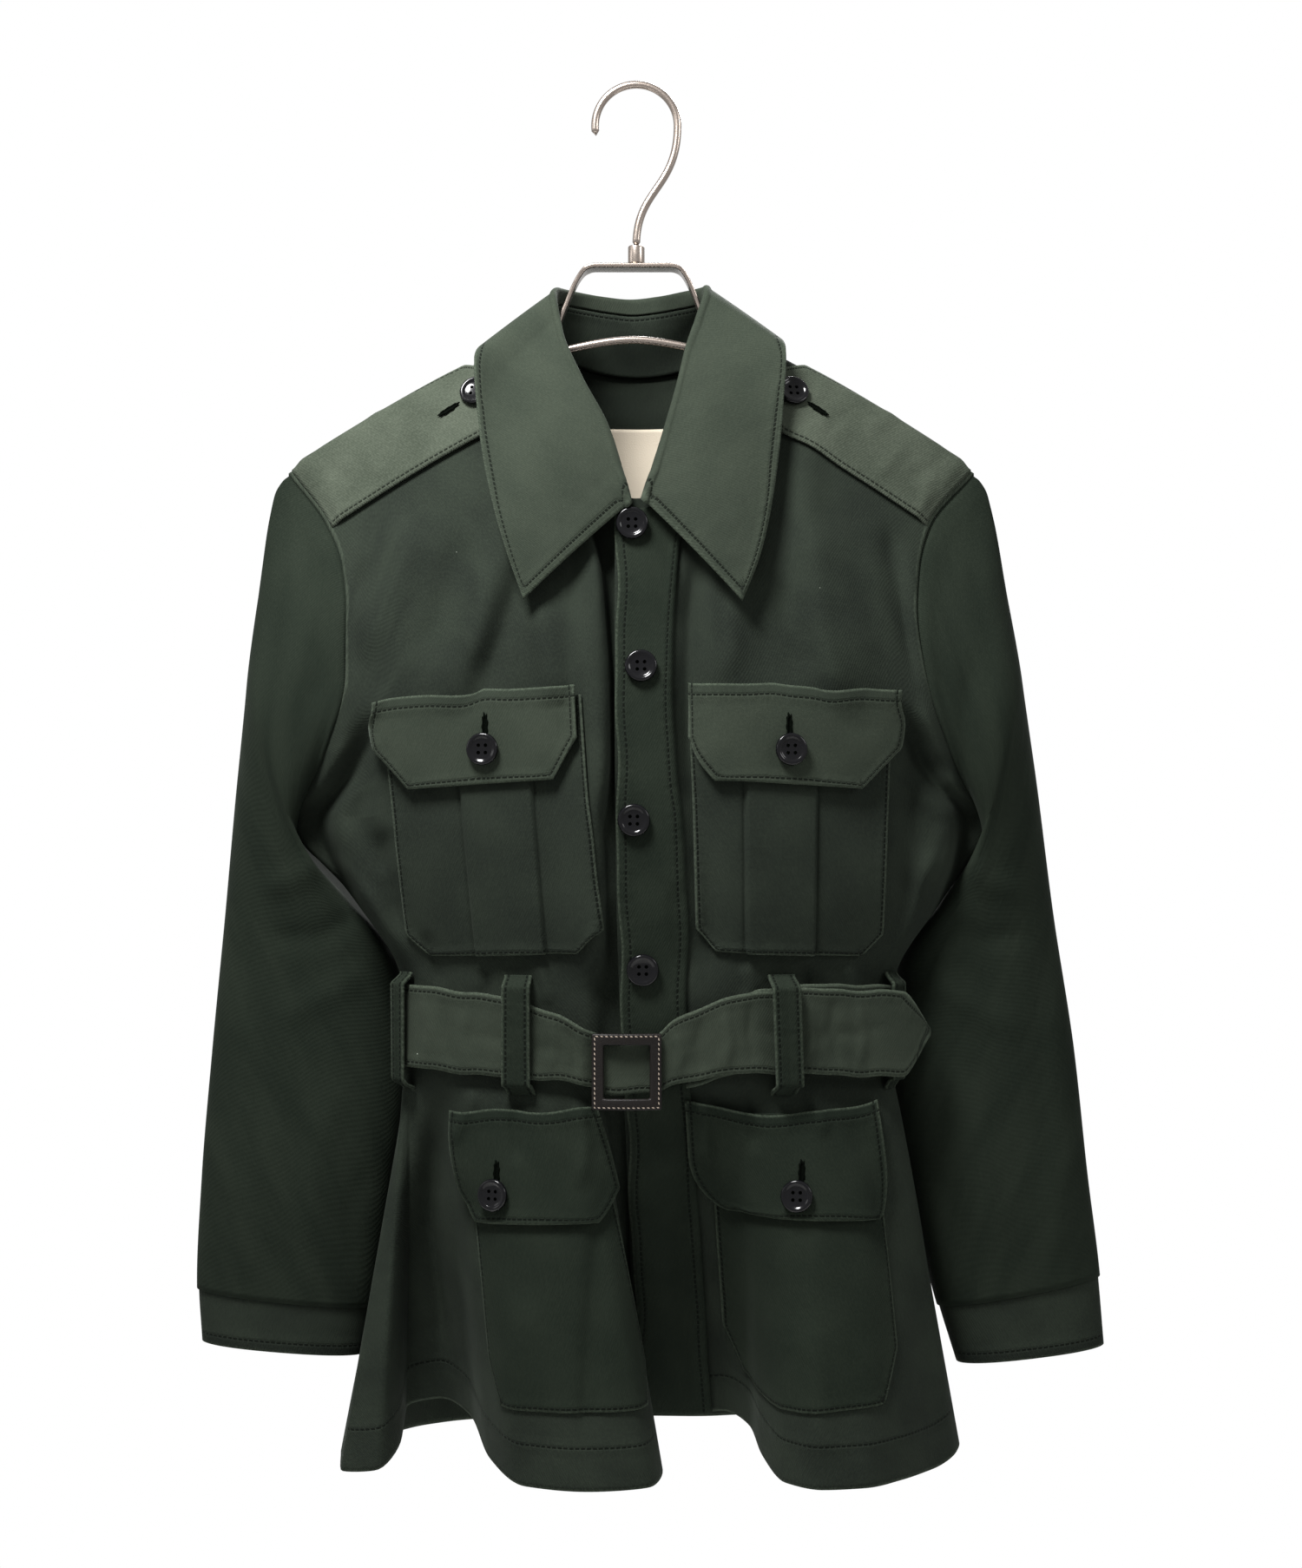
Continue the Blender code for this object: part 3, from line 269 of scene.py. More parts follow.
def hook_path(t):
    """Round the bend for the first share of the wire, then down the neck into the ferrule."""
    bend = np.radians(HOOK_TURN[0] + HOOK_TURN[1] * np.clip(t / HOOK_SHARE, 0, 1))
    down = np.clip((t - HOOK_SHARE) / (1 - HOOK_SHARE), 0, 1)[:, None]
    neck = ((1 - down) ** 3 * pulls[0] + 3 * down * (1 - down) ** 2 * pulls[1]
            + 3 * down**2 * (1 - down) * pulls[2] + down**3 * pulls[3])
    x = np.where(t < HOOK_SHARE, HOOK_X - BEND * np.cos(bend), neck[:, 0])
    z = np.where(t < HOOK_SHARE, WIRE - BEND + BEND * np.sin(bend), neck[:, 1])
    return point(x, HOOK_DEPTH, z)


place_piece(wire("hanger_hook_wire", hook_path, WIRE, 120), nickel, "steel", "hanger_hook")
arms = curves(ARMS)
strap = curves(STRAP)


def arm_path(t):
    return point(arms["x"](t), HOOK_DEPTH, arms["z"](t))


def strap_place(u, v):
    return point(strap["x"](u), HOOK_DEPTH + strap["half_depth"](u) * (2 * v - 1), strap["z"](u))


place_piece(wire("hanger_arm_wire", arm_path, WIRE, 140), nickel, "steel", "hanger_arms")
strap_piece = walled(grid("hanger_strap", 90, 8, strap_place, flip=True), STRAP_WALL)
rounded_edges(strap_piece, STRAP_ROUND, 2)
place_piece(strap_piece, nickel, "steel", "hanger_frame")
mesh = bmesh.new()
radius, low, high = (size * MM for size in FERRULE)
bmesh.ops.create_cone(mesh, cap_ends=True, segments=48, radius1=radius, radius2=radius,
                      depth=high - low)
bmesh.ops.translate(mesh, vec=(HOOK_X * MM, HOOK_DEPTH * MM, (low + high) / 2), verts=mesh.verts)
ends = [edge for edge in mesh.edges if any(len(face.verts) > 4 for face in edge.link_faces)]
bmesh.ops.bevel(mesh, geom=ends, offset=FERRULE_ROUND * MM, offset_type="OFFSET", segments=4,
                profile=0.5, affect="EDGES", material=-1)
place_piece(meshed("hanger_ferrule_barrel", mesh), nickel, "steel", "hanger_ferrule")

# The two fronts and the back. Cotton twill cut in three pieces, sewn at the shoulders and sides
# and hemmed below; they hang from the hanger's arms in the folds that the belt draws in.
CLOTH = 1.4
HEM = -815.0
WAIST = -590.0
FLARE = 0.85
ARMPIT = -436.0
SHOULDER_TIP = -231.0
RIGHT, LEFT = -1, 1
NAME = {RIGHT: "right", LEFT: "left"}
NECK_SHARE = 0.30
NECK_HALF = 57.0
NECK_POINT_HEIGHT = -146.0
FRONT_NECK = (-60.0, -252.0)
BACK_NECK = (47.0, -167.0)
SHOULDER_DEPTH = 0.0
SHOULDER_BOW = 3.0
SHOULDER_TIP_X = {RIGHT: -208.0, LEFT: 202.0}
UNDERLAP = 33.0
UNDER_DEPTH = 8.0
UNDER_DROP = 5.0
SEAM_HALF = 0.65
SIDE_SEAM_HALF = 0.2
# How the fronts and the back stand at each height: the fold that shows at the side, and the side
# seam below the armpit or the armhole seam above it.
SECTIONS = (
    ("height", "front", "right_wide", "left_wide", "wide_y", "right_edge", "left_edge", "edge_y",
     "round", "back", "back_right", "back_left", "back_y"),
    (-590, -68, -137, 151, -18, -127, 141, 8, 0.75, 46, -127, 141, 8),
    (-535, -70, -138, 152, -20, -127, 141, 7, 0.70, 47, -127, 141, 7),
    (-478, -77, -173, 187, -19, -152, 165, 5, 0.42, 53, -152, 165, 5),
    (-436, -79, -206, 210, -10, -202, 206, 2, 0.25, 56, -202, 206, 2),
    (-415, -79, -192, 193, -26, -192, 193, -26, 0.20, 57, -193, 195, 26),
    (-395, -78, -181, 183, -38, -181, 183, -38, 0.16, 57, -184, 186, 36),
    (-354, -76, -169, 169, -47, -169, 169, -47, 0.12, 57, -177, 176, 42),
    (-314, -71, -169, 164, -47, -169, 164, -47, 0.12, 56, -176, 172, 42),
    (-289, -68, -172, 166, -43, -172, 166, -43, 0.12, 54, -179, 174, 38),
    (-263, -64, -183, 174, -32, -183, 174, -32, 0.12, 52, -187, 179, 30),
    (-231, -60, -208, 202, -4, -208, 202, -4, 0.12, 50, -208, 202, 8),
)
FRONT_EDGE = (
    ("height", "x"),
    (-815, 0), (-675, -3), (-571, -8), (-478, -11), (-354, -12), (-231, -12),
)
RIGHT_HEM = (
    ("across", "x", "y", "rise"),
    (0.00, 28, 6, 24), (0.09, -2, 6, 22), (0.15, -11, -15, 14), (0.21, 15, -57, 2), (0.27, 8, -86, 0),
    (0.36, -26, -96, 0), (0.47, -62, -84, 0), (0.56, -84, -52, 8), (0.64, -98, -14, 24),
    (0.72, -117, 4, 30), (0.79, -138, -2, 26), (0.84, -139, -26, 12), (0.90, -150, -56, 2),
    (0.96, -170, -50, 0), (1.00, -174, -20, 4),
)
LEFT_HEM = (
    ("across", "x", "y", "rise"),
    (0.00, 0, -4, 22), (0.09, 30, -2, 22), (0.18, 52, -2, 24), (0.26, 68, -16, 18), (0.32, 74, -44, 8),
    (0.40, 86, -76, 0), (0.50, 106, -92, 0), (0.60, 130, -88, 0), (0.70, 152, -70, 0),
    (0.80, 172, -46, 0), (0.90, 188, -24, 4), (0.96, 192, -6, 6), (1.00, 188, 8, 6),
)
BACK_HEM = (
    ("across", "x", "y", "rise"),
    (-1.00, -174, -20, 4), (-0.90, -162, 14, 2), (-0.76, -132, 62, 0), (-0.58, -96, 78, 0),
    (-0.40, -62, 56, 8), (-0.20, -30, 66, 4), (0.00, 6, 86, 0), (0.20, 42, 68, 4), (0.40, 74, 56, 8),
    (0.58, 108, 78, 0), (0.76, 146, 66, 0), (0.90, 176, 28, 4), (1.00, 188, 8, 6),
)
# Soft folds that the solids have too. "out" moves the cloth off the body, "along" moves it to +X.
FOLDS = (
    ("panel", "u_low", "u_high", "spread", "low", "high", "fade", "out", "along"),
    ("right", 0.200, 0.200, 0.040, -500, -300, 40, 9, 7),
    ("right", 0.93, 0.88, 0.055, -505, -400, 30, -15, 0),
    ("right", 0.60, 0.42, 0.070, -365, -290, 30, 5, 0),
    ("right", 0.52, 0.33, 0.050, -365, -300, 30, -5, 0),
    ("left", 0.20, 0.20, 0.050, -500, -330, 40, -5, 0),
    ("left", 0.93, 0.88, 0.055, -505, -400, 30, -15, 0),
    ("left", 0.66, 0.60, 0.060, -365, -270, 30, 6, 0),
    ("left", 0.45, 0.36, 0.060, -365, -290, 30, -4, 0),
    ("back", -0.46, -0.62, 0.090, -490, -430, 45, 8, 0),
    ("back", 0.46, 0.62, 0.090, -490, -430, 45, 8, 0),
    ("back", 0.00, 0.00, 0.100, -490, -300, 45, -6, 0),
)
# The creases: the points that one runs through as x and z, how far it spreads to its left and
# right, and how high it stands; a negative height is a trough.
CREASES = {
    "right front": (
        (((-130, -258), (-142, -300), (-162, -348)), 12, 13, 4.0),
        (((-100, -270), (-108, -306), (-122, -350)), 11, 10, -2.8),
        (((-84, -288), (-88, -318), (-96, -354)), 8, 9, 2.0),
        (((-58, -306), (-50, -340), (-44, -374)), 8, 9, 3.2),
        (((-34, -300), (-28, -366), (-14, -448), (-7, -520)), 6, 7, 3.2),
        (((-16, -290), (-15, -350), (-9, -430)), 4, 4, -4.5),
        (((-157, -282), (-168, -318), (-166, -356)), 6, 6, -3.2),
        (((-140, -362), (-166, -397), (-195, -434)), 8, 6, 3.6),
        (((-150, -392), (-162, -436), (-146, -470)), 8, 9, -4.0),
        (((-146, -440), (-146, -464), (-134, -508)), 6, 7, -3.4),
        (((-180, -456), (-156, -484), (-130, -524)), 6, 6, 4.2),
        (((-122, -500), (-116, -518), (-114, -536)), 4, 5, -1.8),
        (((-88, -520), (-86, -532), (-88, -544)), 4, 4, -1.6),
        (((-56, -518), (-52, -530), (-50, -544)), 4, 5, 1.6),
        (((-16, -470), (-22, -500), (-20, -530)), 4, 6, 2.0),
        (((-112, -590), (-122, -680), (-112, -770)), 9, 9, -6.5),
        (((-128, -604), (-142, -690), (-150, -790)), 7, 8, 2.8),
        (((-94, -592), (-96, -606), (-100, -626)), 4, 4, 2.0),
        (((-66, -594), (-68, -612), (-66, -636)), 4, 4, -1.8),
        (((-34, -596), (-30, -620), (-32, -650)), 4, 4, 2.2),
        (((-20, -640), (-26, -720), (-30, -806)), 5, 9, -2.2),
        (((-62, -700), (-70, -750), (-74, -806)), 12, 12, 2.6),
    ),
    "left front": (
        (((104, -262), (116, -300), (136, -364)), 12, 13, 3.8),
        (((78, -292), (86, -322), (98, -360)), 9, 9, -2.6),
        (((146, -262), (153, -300), (167, -366)), 7, 7, -3.6),
        (((34, -290), (29, -365), (33, -470)), 6, 7, -2.6),
        (((54, -306), (56, -332), (52, -358)), 7, 7, 2.0),
        (((164, -366), (180, -397), (206, -431)), 6, 9, 4.2),
        (((157, -388), (158, -440), (157, -508)), 8, 8, -4.6),
        (((176, -404), (188, -440), (176, -484)), 10, 9, 8.0),
        (((172, -452), (164, -486), (150, -524)), 5, 7, 3.0),
        (((184, -440), (176, -466), (164, -496)), 4, 4, -1.8),
        (((22, -470), (24, -500), (28, -532)), 5, 5, -1.6),
        (((62, -518), (66, -532), (64, -546)), 4, 5, 1.8),
        (((96, -520), (98, -532), (102, -546)), 4, 4, -1.6),
        (((122, -518), (126, -530), (128, -544)), 4, 4, 1.6),
        (((135, -588), (156, -640), (175, -700)), 8, 9, 5.0),
        (((118, -600), (138, -656), (156, -724)), 6, 8, -3.0),
        (((36, -592), (40, -612), (40, -640)), 4, 4, 2.2),
        (((64, -592), (66, -606), (72, -630)), 4, 4, -1.8),
        (((100, -592), (104, -604), (108, -622)), 4, 4, 2.0),
        (((24, -640), (28, -720), (40, -806)), 6, 7, -2.6),
        (((92, -716), (98, -760), (104, -806)), 12, 12, 2.6),
        (((160, -700), (170, -750), (178, -806)), 9, 9, -2.8),
    ),
    "back": (
        (((-60, -230), (-100, -280), (-150, -352)), 12, 16, 4.4),
        (((62, -224), (108, -290), (152, -366)), 13, 15, 3.8),
        (((-20, -240), (-26, -330), (-20, -430)), 12, 10, -3.2),
        (((32, -260), (40, -350), (36, -452)), 10, 12, 3.2),
        (((-150, -420), (-124, -470), (-100, -520)), 7, 9, 4.0),
        (((150, -420), (126, -462), (96, -522)), 8, 7, 3.6),
        (((-70, -450), (-62, -490), (-58, -530)), 7, 7, 3.0),
        (((62, -460), (66, -496), (60, -530)), 7, 6, -3.2),
        (((0, -470), (4, -500), (0, -530)), 8, 8, -2.8),
        (((-30, -504), (-28, -518), (-30, -534)), 4, 4, 1.8),
        (((-98, -500), (-94, -516), (-92, -534)), 4, 5, -1.8),
        (((96, -506), (92, -520), (92, -536)), 4, 4, 2.0),
        (((-120, -610), (-130, -690), (-146, -790)), 9, 11, 3.4),
        (((60, -610), (84, -700), (92, -800)), 10, 12, 3.2),
        (((140, -620), (152, -700), (160, -780)), 9, 9, -3.4),
        (((-30, -620), (-44, -700), (-40, -790)), 10, 9, -3.0),
        (((-82, -594), (-84, -612), (-90, -640)), 4, 4, 2.0),
        (((20, -592), (18, -610), (20, -636)), 4, 5, 2.2),
        (((110, -594), (114, -614), (112, -640)), 4, 4, -2.0),
    ),
}
# Every crease of the fronts and the back stands this much deeper than its table says.
CREASE_DEPTH = 1.35
# The twill's shades: the body's; then rubbed and faded, paler copies that are partly wear and
# partly painted light, for the parts that face the light from above; and deep, a darker copy
# that is painted shade, for the parts that hang in shade. Each is a base, its worn edge and its
# darker patches.
TWILL = ("#181c17", "#394036", "#101310")
RUBBED_AND_LIT = ("#1f231d", "#394036", "#181c17")
FADED_AND_LIT = ("#2d312a", "#4a5046", "#1f231d")
SHADED = ("#141813", "#394036", "#0d110d")
SHEEN_TINT = "#b9c6b8"
THREAD_DARK = "#040504"
LINT = "#6f756c"
WORN_SHARE = 0.34
# The cloth's detail in millimetres. The ribs are drawn coarser than the real 0.8 or so, because
# finer ones vanish in a picture of the whole jacket.
RIB_MM = 1.3
STITCH_MM = 3.3
YARN_MM = 1.5
FADE_MM = 42
RUMPLE_MM = 20
PUCKER_MM = 5.5
LINT_MM = 34
WAVE_STEP = 0.314159


def ease(a, b, x):
    t = np.clip((x - a) / (b - a), 0, 1)
    return t * t * (3 - 2 * t)


def folds(panel, u, h):
    """How far the soft folds move the cloth: outwards, and along +X."""
    out, along = np.zeros_like(u), np.zeros_like(u)
    for name, u_low, u_high, spread, low, high, fade, push, slide in FOLDS[1:]:
        middle = u_low + (u_high - u_low) * np.clip((h - low) / (high - low), 0, 1)
        weight = np.exp(-(((u - middle) / spread) ** 2)) * ease(low - fade, low, h)
        weight = weight * (1 - ease(high, high + fade, h)) * (name == panel)
        out, along = out + weight * push, along + weight * slide
    return out, along


def above_armpit(h):
    """The share of the way from the armpit to the top, and how far the cloth still stands out."""
    w = np.clip((h - ARMPIT) / (SHOULDER_TIP - ARMPIT), 0, 1)
    return w, (1 - w**2.2) ** 0.6


def top_line(u, start_angle, neck, tip_x):
    """The neckline up to NECK_SHARE, then the shoulder seam out to the armhole; u runs outwards."""
    side = np.sign(tip_x)
    angle = start_angle + (math.pi / 2 - start_angle) * np.clip(u / NECK_SHARE, 0, 1)
    k = np.clip((u - NECK_SHARE) / (1 - NECK_SHARE), 0, 1)
    turned = 1 - np.cos(angle)
    x = side * NECK_HALF * np.sin(angle) + (tip_x - side * NECK_HALF) * k
    y = neck[0] + (SHOULDER_DEPTH - neck[0]) * turned**0.9
    z = neck[1] + (NECK_POINT_HEIGHT - neck[1]) * turned + (SHOULDER_TIP - NECK_POINT_HEIGHT) * k
    return point(x, y, z + SHOULDER_BOW * np.sin(math.pi * k))


def upper_front(side, u, h):
    """A point of a front at or above the waist."""
    wide, edge = SECTION[NAME[side] + "_wide"](h), SECTION[NAME[side] + "_edge"](h)
    wide_y, edge_y = SECTION["wide_y"](h), SECTION["edge_y"](h)
    bent, start = SECTION["round"](h), EDGE_X(h) + UNDERLAP * (side == RIGHT)
    w, stand = above_armpit(h)
    turn = 1 - 0.12 * (1 - ease(ARMPIT - 75, ARMPIT, h))
    q = np.clip(u / turn, 0, 1)
    start_angle = np.arcsin(side * start / NECK_HALF)
    top = top_line(u, start_angle, FRONT_NECK, SHOULDER_TIP_X[side])
    share = (1 - bent) * q + bent * np.sin(math.pi / 2 * q)
    top_share = (top[..., 0] - start) / (SHOULDER_TIP_X[side] - start)
    share = share + (top_share - share) * w**1.3
    x = start + (wide - start) * share
    off = np.clip(np.abs(x) / np.abs(wide), 0, 1)
    y = (1 - bent) * off**2.2 + bent * (1 - np.sqrt(1 - np.clip(off, 0, 0.999) ** 2.4))
    y = SECTION["front"](h) + (wide_y - SECTION["front"](h)) * y
    tuck = np.clip((u - turn) / np.maximum(1 - turn, 1e-6), 0, 1) * (turn < 1)
    x = x + (edge - wide) * tuck**2
    y = y + (edge_y - wide_y) * tuck
    out, along = folds(NAME[side], u, h)
    under = (side == RIGHT) * (1 - ease(0.15, 0.21, u))
    y = top[..., 1] - SEAM_HALF + (y - out - top[..., 1]) * stand + UNDER_DEPTH * under
    z = np.where(h > ARMPIT, ARMPIT + w * (top[..., 2] - ARMPIT), h)
    return point(x + along * stand, y, z - UNDER_DROP * under * w)


def upper_back(u, h):
    """A point of the back at or above the waist; u runs from -1, its right side, to +1."""
    a = np.abs(u)
    edge = np.where(u < 0, SECTION["back_right"](h), SECTION["back_left"](h))
    tip = np.where(u < 0, SHOULDER_TIP_X[RIGHT], SHOULDER_TIP_X[LEFT])
    w, stand = above_armpit(h)
    top = top_line(a, 0.0, BACK_NECK, tip)
    share = a + (top[..., 0] / tip - a) * w**1.3
    y = SECTION["back"](h) + (SECTION["back_y"](h) - SECTION["back"](h)) * share**2.8
    out, along = folds("back", u, h)
    y = top[..., 1] + SEAM_HALF + (y + out - top[..., 1]) * stand
    z = np.where(h > ARMPIT, ARMPIT + w * (top[..., 2] - ARMPIT), h)
    return point(edge * share, y, z)


def lifted(x, z, creases):
    """How far the creases lift each point, given where it is seen in the upright plane."""
    lift = np.zeros_like(x)
    for line, spread_left, spread_right, rise in creases:
        near, signed, share = np.full_like(x, 1e6), np.zeros_like(x), np.zeros_like(x)
        for number, (start, end) in enumerate(zip(line, line[1:])):
            step_x, step_z = end[0] - start[0], end[1] - start[1]
            reach = (x - start[0]) * step_x + (z - start[1]) * step_z
            along = np.clip(reach / (step_x**2 + step_z**2), 0, 1)
            off_x, off_z = x - start[0] - along * step_x, z - start[1] - along * step_z
            far = np.hypot(off_x, off_z)
            closer = far < near
            signed = np.where(closer, step_x * off_z - step_z * off_x, signed)
            share = np.where(closer, (number + along) / (len(line) - 1), share)
            near = np.minimum(far, near)
        spread = np.where(signed > 0, spread_right, spread_left)
        ends = ease(0, 0.3, share + 0.04) * ease(0, 0.3, 1.04 - share)
        lift = lift + rise * np.exp(-((near / spread) ** 2)) * ends
    return lift


def skirted(panel, upper, u, h):
    """The panel's own point above the waist, and below it the way down to the folds of the hem."""
    u, h = np.broadcast_arrays(np.asarray(u, float), np.asarray(h, float))
    waist = upper(u, np.full_like(h, WAIST))
    t = np.clip((WAIST - h) / (WAIST - HEM), 0, 1)[..., None]
    spread = t**FLARE
    hem = HEMS[panel]
    apart = SIDE_SEAM_HALF if panel == "back" else -SIDE_SEAM_HALF
    low = point(hem["x"](u), hem["y"](u) + apart, HEM + hem["rise"](u))
    lower = waist + (low - waist) * spread
    lower[..., 2] = h + hem["rise"](u) * t[..., 0] ** 2
    return np.where((h < WAIST)[..., None], lower, upper(u, np.maximum(h, WAIST)))


SECTION = curves(SECTIONS)
EDGE_X = curve(FRONT_EDGE, "x")
HEMS = {"right": curves(RIGHT_HEM), "left": curves(LEFT_HEM), "back": curves(BACK_HEM)}


def smooth_front(side, u, h):
    return skirted(NAME[side], lambda a, b: upper_front(side, a, b), u, h)


def smooth_back(u, h):
    return skirted("back", upper_back, u, h)


def creased(spot, panel, u, towards):
    """A panel's point with its creases, which die out towards the side seam."""
    lift = lifted(spot[..., 0], spot[..., 2], CREASES[panel])
    shown = 1 - ease(0.94, 1.0, np.broadcast_to(u, lift.shape))
    spot[..., 1] += towards * CREASE_DEPTH * lift * shown
    return spot


def front(side, u, h):
    return creased(smooth_front(side, u, h), NAME[side] + " front", u, -1)


def back(u, h):
    return creased(smooth_back(u, h), "back", np.abs(u), 1)


def raised(surface, a, b, out, step_a=0.004, step_b=1.0):
    """A surface's point moved out along its own normal; a negative number moves it inwards."""
    along = surface(a + step_a, b) - surface(a - step_a, b)
    up = surface(a, b + step_b) - surface(a, b - step_b)
    normal = np.cross(along, up)
    normal = normal / np.linalg.norm(normal, axis=-1, keepdims=True)
    return surface(a, b) + normal * np.asarray(out)[..., None]


def on_front(side, u, h, out):
    """A point lying on a front; u runs away from the middle, so the right front's is mirrored."""
    spot = raised(lambda a, b: smooth_front(side, a, b), u, h, side * np.asarray(out, float))
    return spot + front(side, u, h) - smooth_front(side, u, h)


# How the twill is worked out, as rows of a result, what is done, and the results or numbers that
# it is done to. A RAMP eases from its fourth number to its fifth between its second and third.
# First come the steps for each row of stitches, in millimetres off its line and along it.
STITCH_STEPS = (
    ("away", "ABSOLUTE", "off"),
    ("pitches", "DIVIDE", "run", STITCH_MM),
    ("pitch", "FRACT", "pitches"),
    ("dash", "RAMP", "pitch", 0.62, 0.8, 1.0, 0.0),
    ("line", "RAMP", "away", 0.35, 0.8, 1.0, 0.0),
    ("stitch", "MULTIPLY", "line", "dash"),
    ("thread", "MAXIMUM", "thread", "stitch"),
    ("sunk", "RAMP", "away", 0.1, 1.7, 1.0, 0.0),
    ("groove", "MAXIMUM", "groove", "sunk"),
    ("beside", "RAMP", "away", 0.0, 6.5, 1.0, 0.0),
    ("pull", "MULTIPLY", "beside", "gather"),
    ("pucker", "MAXIMUM", "pucker", "pull"),
)
# Then the colour's: patches, a darker band outside the second row, the worn edge and lint.
COLOUR_STEPS = (
    ("patchy", "RAMP", "fade", 0.3, 0.7, 0.0, 0.55),
    ("uneven", "RAMP", "yarn", 0.35, 0.72, 0.0, 0.45),
    ("shade", "ADD", "patchy", "uneven"),
    ("band", "RAMP", "off", -0.9, 0.1, 1.0, 0.0),
    ("band", "MULTIPLY", "band", 0.45),
    ("shade", "SUBTRACT", "shade", "band"),
    ("edge", "RAMP", "rim", 0.3, 1.9, 1.0, 0.0),
    ("broken", "RAMP", "yarn", 0.3, 0.7, 0.3, 1.0),
    ("edge", "MULTIPLY", "edge", "broken"),
    ("edge", "MULTIPLY", "edge", WORN_SHARE),
    ("sewn", "MULTIPLY", "thread", 0.8),
    ("speck", "RAMP", "spacing", 0.008, 0.014, 1.0, 0.0),
    ("few", "GREATER_THAN", "chance", 0.8),
    ("lint", "MULTIPLY", "speck", "few"),
)
# Last, how high each stands, as a share of a millimetre.
HEIGHTS = (("yarn", 0.10), ("groove", -0.32), ("pucker", 0.9), ("thread", 0.3), ("rumple", 0.7))
RIB_HEIGHT = 0.07


def work_out(tree, found, steps):
    """Add the nodes for a table's steps; found holds the results so far by name."""
    for result, done, *values in steps:
        values = [found.get(value, value) for value in values]
        if done == "RAMP":
            sockets = dict(zip(("Value", "From Min", "From Max", "To Min", "To Max"), values))
            made = add(tree, "MapRange", sockets, interpolation_type="SMOOTHSTEP")
        else:
            made = add(tree, "Math", dict(enumerate(values)), operation=done)
        found[result] = made.outputs[0]


def twill_cloth(name, shades, sheen):
    """Cotton twill: slanting ribs, uneven yarn, dashes of thread in a soft groove along the sewn
    edges, puckers beside them, a paler worn line on the edge itself and a few specks of lint."""
    base, worn, dark = map(linear, shades)
    made, tree, shader = principled(name, shades[0], 0.88, Sheen_Weight=sheen, Sheen_Roughness=0.4)
    shader.inputs["Sheen Tint"].default_value = linear(SHEEN_TINT)
    shader.inputs["Specular IOR Level"].default_value = 0.015
    cut = add(tree, "UVMap", uv_map="cut").outputs["UV"]
    slant = add(tree, "Mapping", {"Vector": cut, "Rotation": (0, 0, math.radians(28))})
    ribs = add(tree, "TexWave", {"Vector": slant.outputs["Vector"], "Scale": WAVE_STEP / (RIB_MM * MM),
                                 "Distortion": 1.0, "Detail": 1.0, "Detail Scale": 1.5})
    specks = add(tree, "TexVoronoi", {"Vector": cut, "Scale": 1 / (LINT_MM * MM)})
    chance = add(tree, "SeparateColor", {"Color": specks.outputs["Color"]}).outputs["Red"]
    found = {"thread": 0.0, "groove": 0.0, "pucker": 0.0, "chance": chance,
             "spacing": specks.outputs["Distance"]}
    for key, size, detail in (("yarn", YARN_MM, 3.0), ("fade", FADE_MM, 4.0), ("rumple", RUMPLE_MM, 2.0)):
        noise = add(tree, "TexNoise", {"Vector": cut, "Scale": 1 / (size * MM), "Detail": detail})
        found[key] = noise.outputs["Fac"]
    found["rim"] = add(tree, "Attribute", attribute_name="rim").outputs["Fac"]
    for number in (1, 2):
        for key in ("off", "run"):
            kept = add(tree, "Attribute", attribute_name=f"{key}_{number}")
            found[key] = kept.outputs["Fac"]
        along = add(tree, "CombineXYZ", {"X": found["run"]}).outputs["Vector"]
        gather = add(tree, "TexNoise", {"Vector": along, "Scale": 1 / PUCKER_MM, "Detail": 1.5})
        found["gather"] = gather.outputs["Fac"]
        work_out(tree, found, STITCH_STEPS)
    work_out(tree, found, COLOUR_STEPS)
    colour = dark
    for share, over in (("shade", base), ("edge", worn), ("sewn", linear(THREAD_DARK)),
                        ("lint", linear(LINT))):
        mixed = add(tree, "Mix", {"Factor": found[share], "A": colour, "B": over}, data_type="RGBA")
        colour = mixed.outputs["Result"]
    tree.links.new(colour, shader.inputs["Base Color"])
    found["ribs"] = ribs.outputs["Fac"]
    work_out(tree, found, [("height", "MULTIPLY", "ribs", RIB_HEIGHT)])
    for source, share in HEIGHTS:
        work_out(tree, found, [("part", "MULTIPLY", source, share), ("height", "ADD", "height", "part")])
    bump = add(tree, "Bump", {"Height": found["height"], "Distance": MM, "Strength": 1.0})
    tree.links.new(bump.outputs["Normal"], shader.inputs["Normal"])
    return made


# Plain on the body, cuffs, collar stand and chest pockets; rubbed and lit, paler partly for wear
# and partly with painted light, on the collar fall, belt and chest flaps; faded and lit, paler
# still partly for fading and partly with painted light, on the epaulettes; deep, darkened with
# painted shade, on the sleeves, placket, loops, skirt pockets and skirt flaps.
twill = twill_cloth("dark green cotton twill", TWILL, 0.015)
rubbed_and_lit = twill_cloth("rubbed green cotton twill", RUBBED_AND_LIT, 0.03)
faded_and_lit = twill_cloth("faded green cotton twill", FADED_AND_LIT, 0.03)
deep = twill_cloth("shaded green cotton twill", SHADED, 0.01)
ARMPIT_ROW = 0.62
HEM_STITCHES = (("b", 24.0),)
BODY_CLOTH = ["right_front_cloth", "left_front_cloth", "back_cloth"]
ON_HANGER = ["hanger_arm_wire"]


def cloth(node, columns, rows, place, flat, held, rests_on, look=twill, slot="cloth", wall=CLOTH,
          area=None, **shape):
    """A cloth piece that stands for its solid, which it hides: the sheet that it is cut from, walled and
    given its look.
    """
    piece = grid(node + "_cloth", columns, rows, place, **shape)
    walled(piece, wall)
    place_piece(piece, look, slot, node)
    return piece


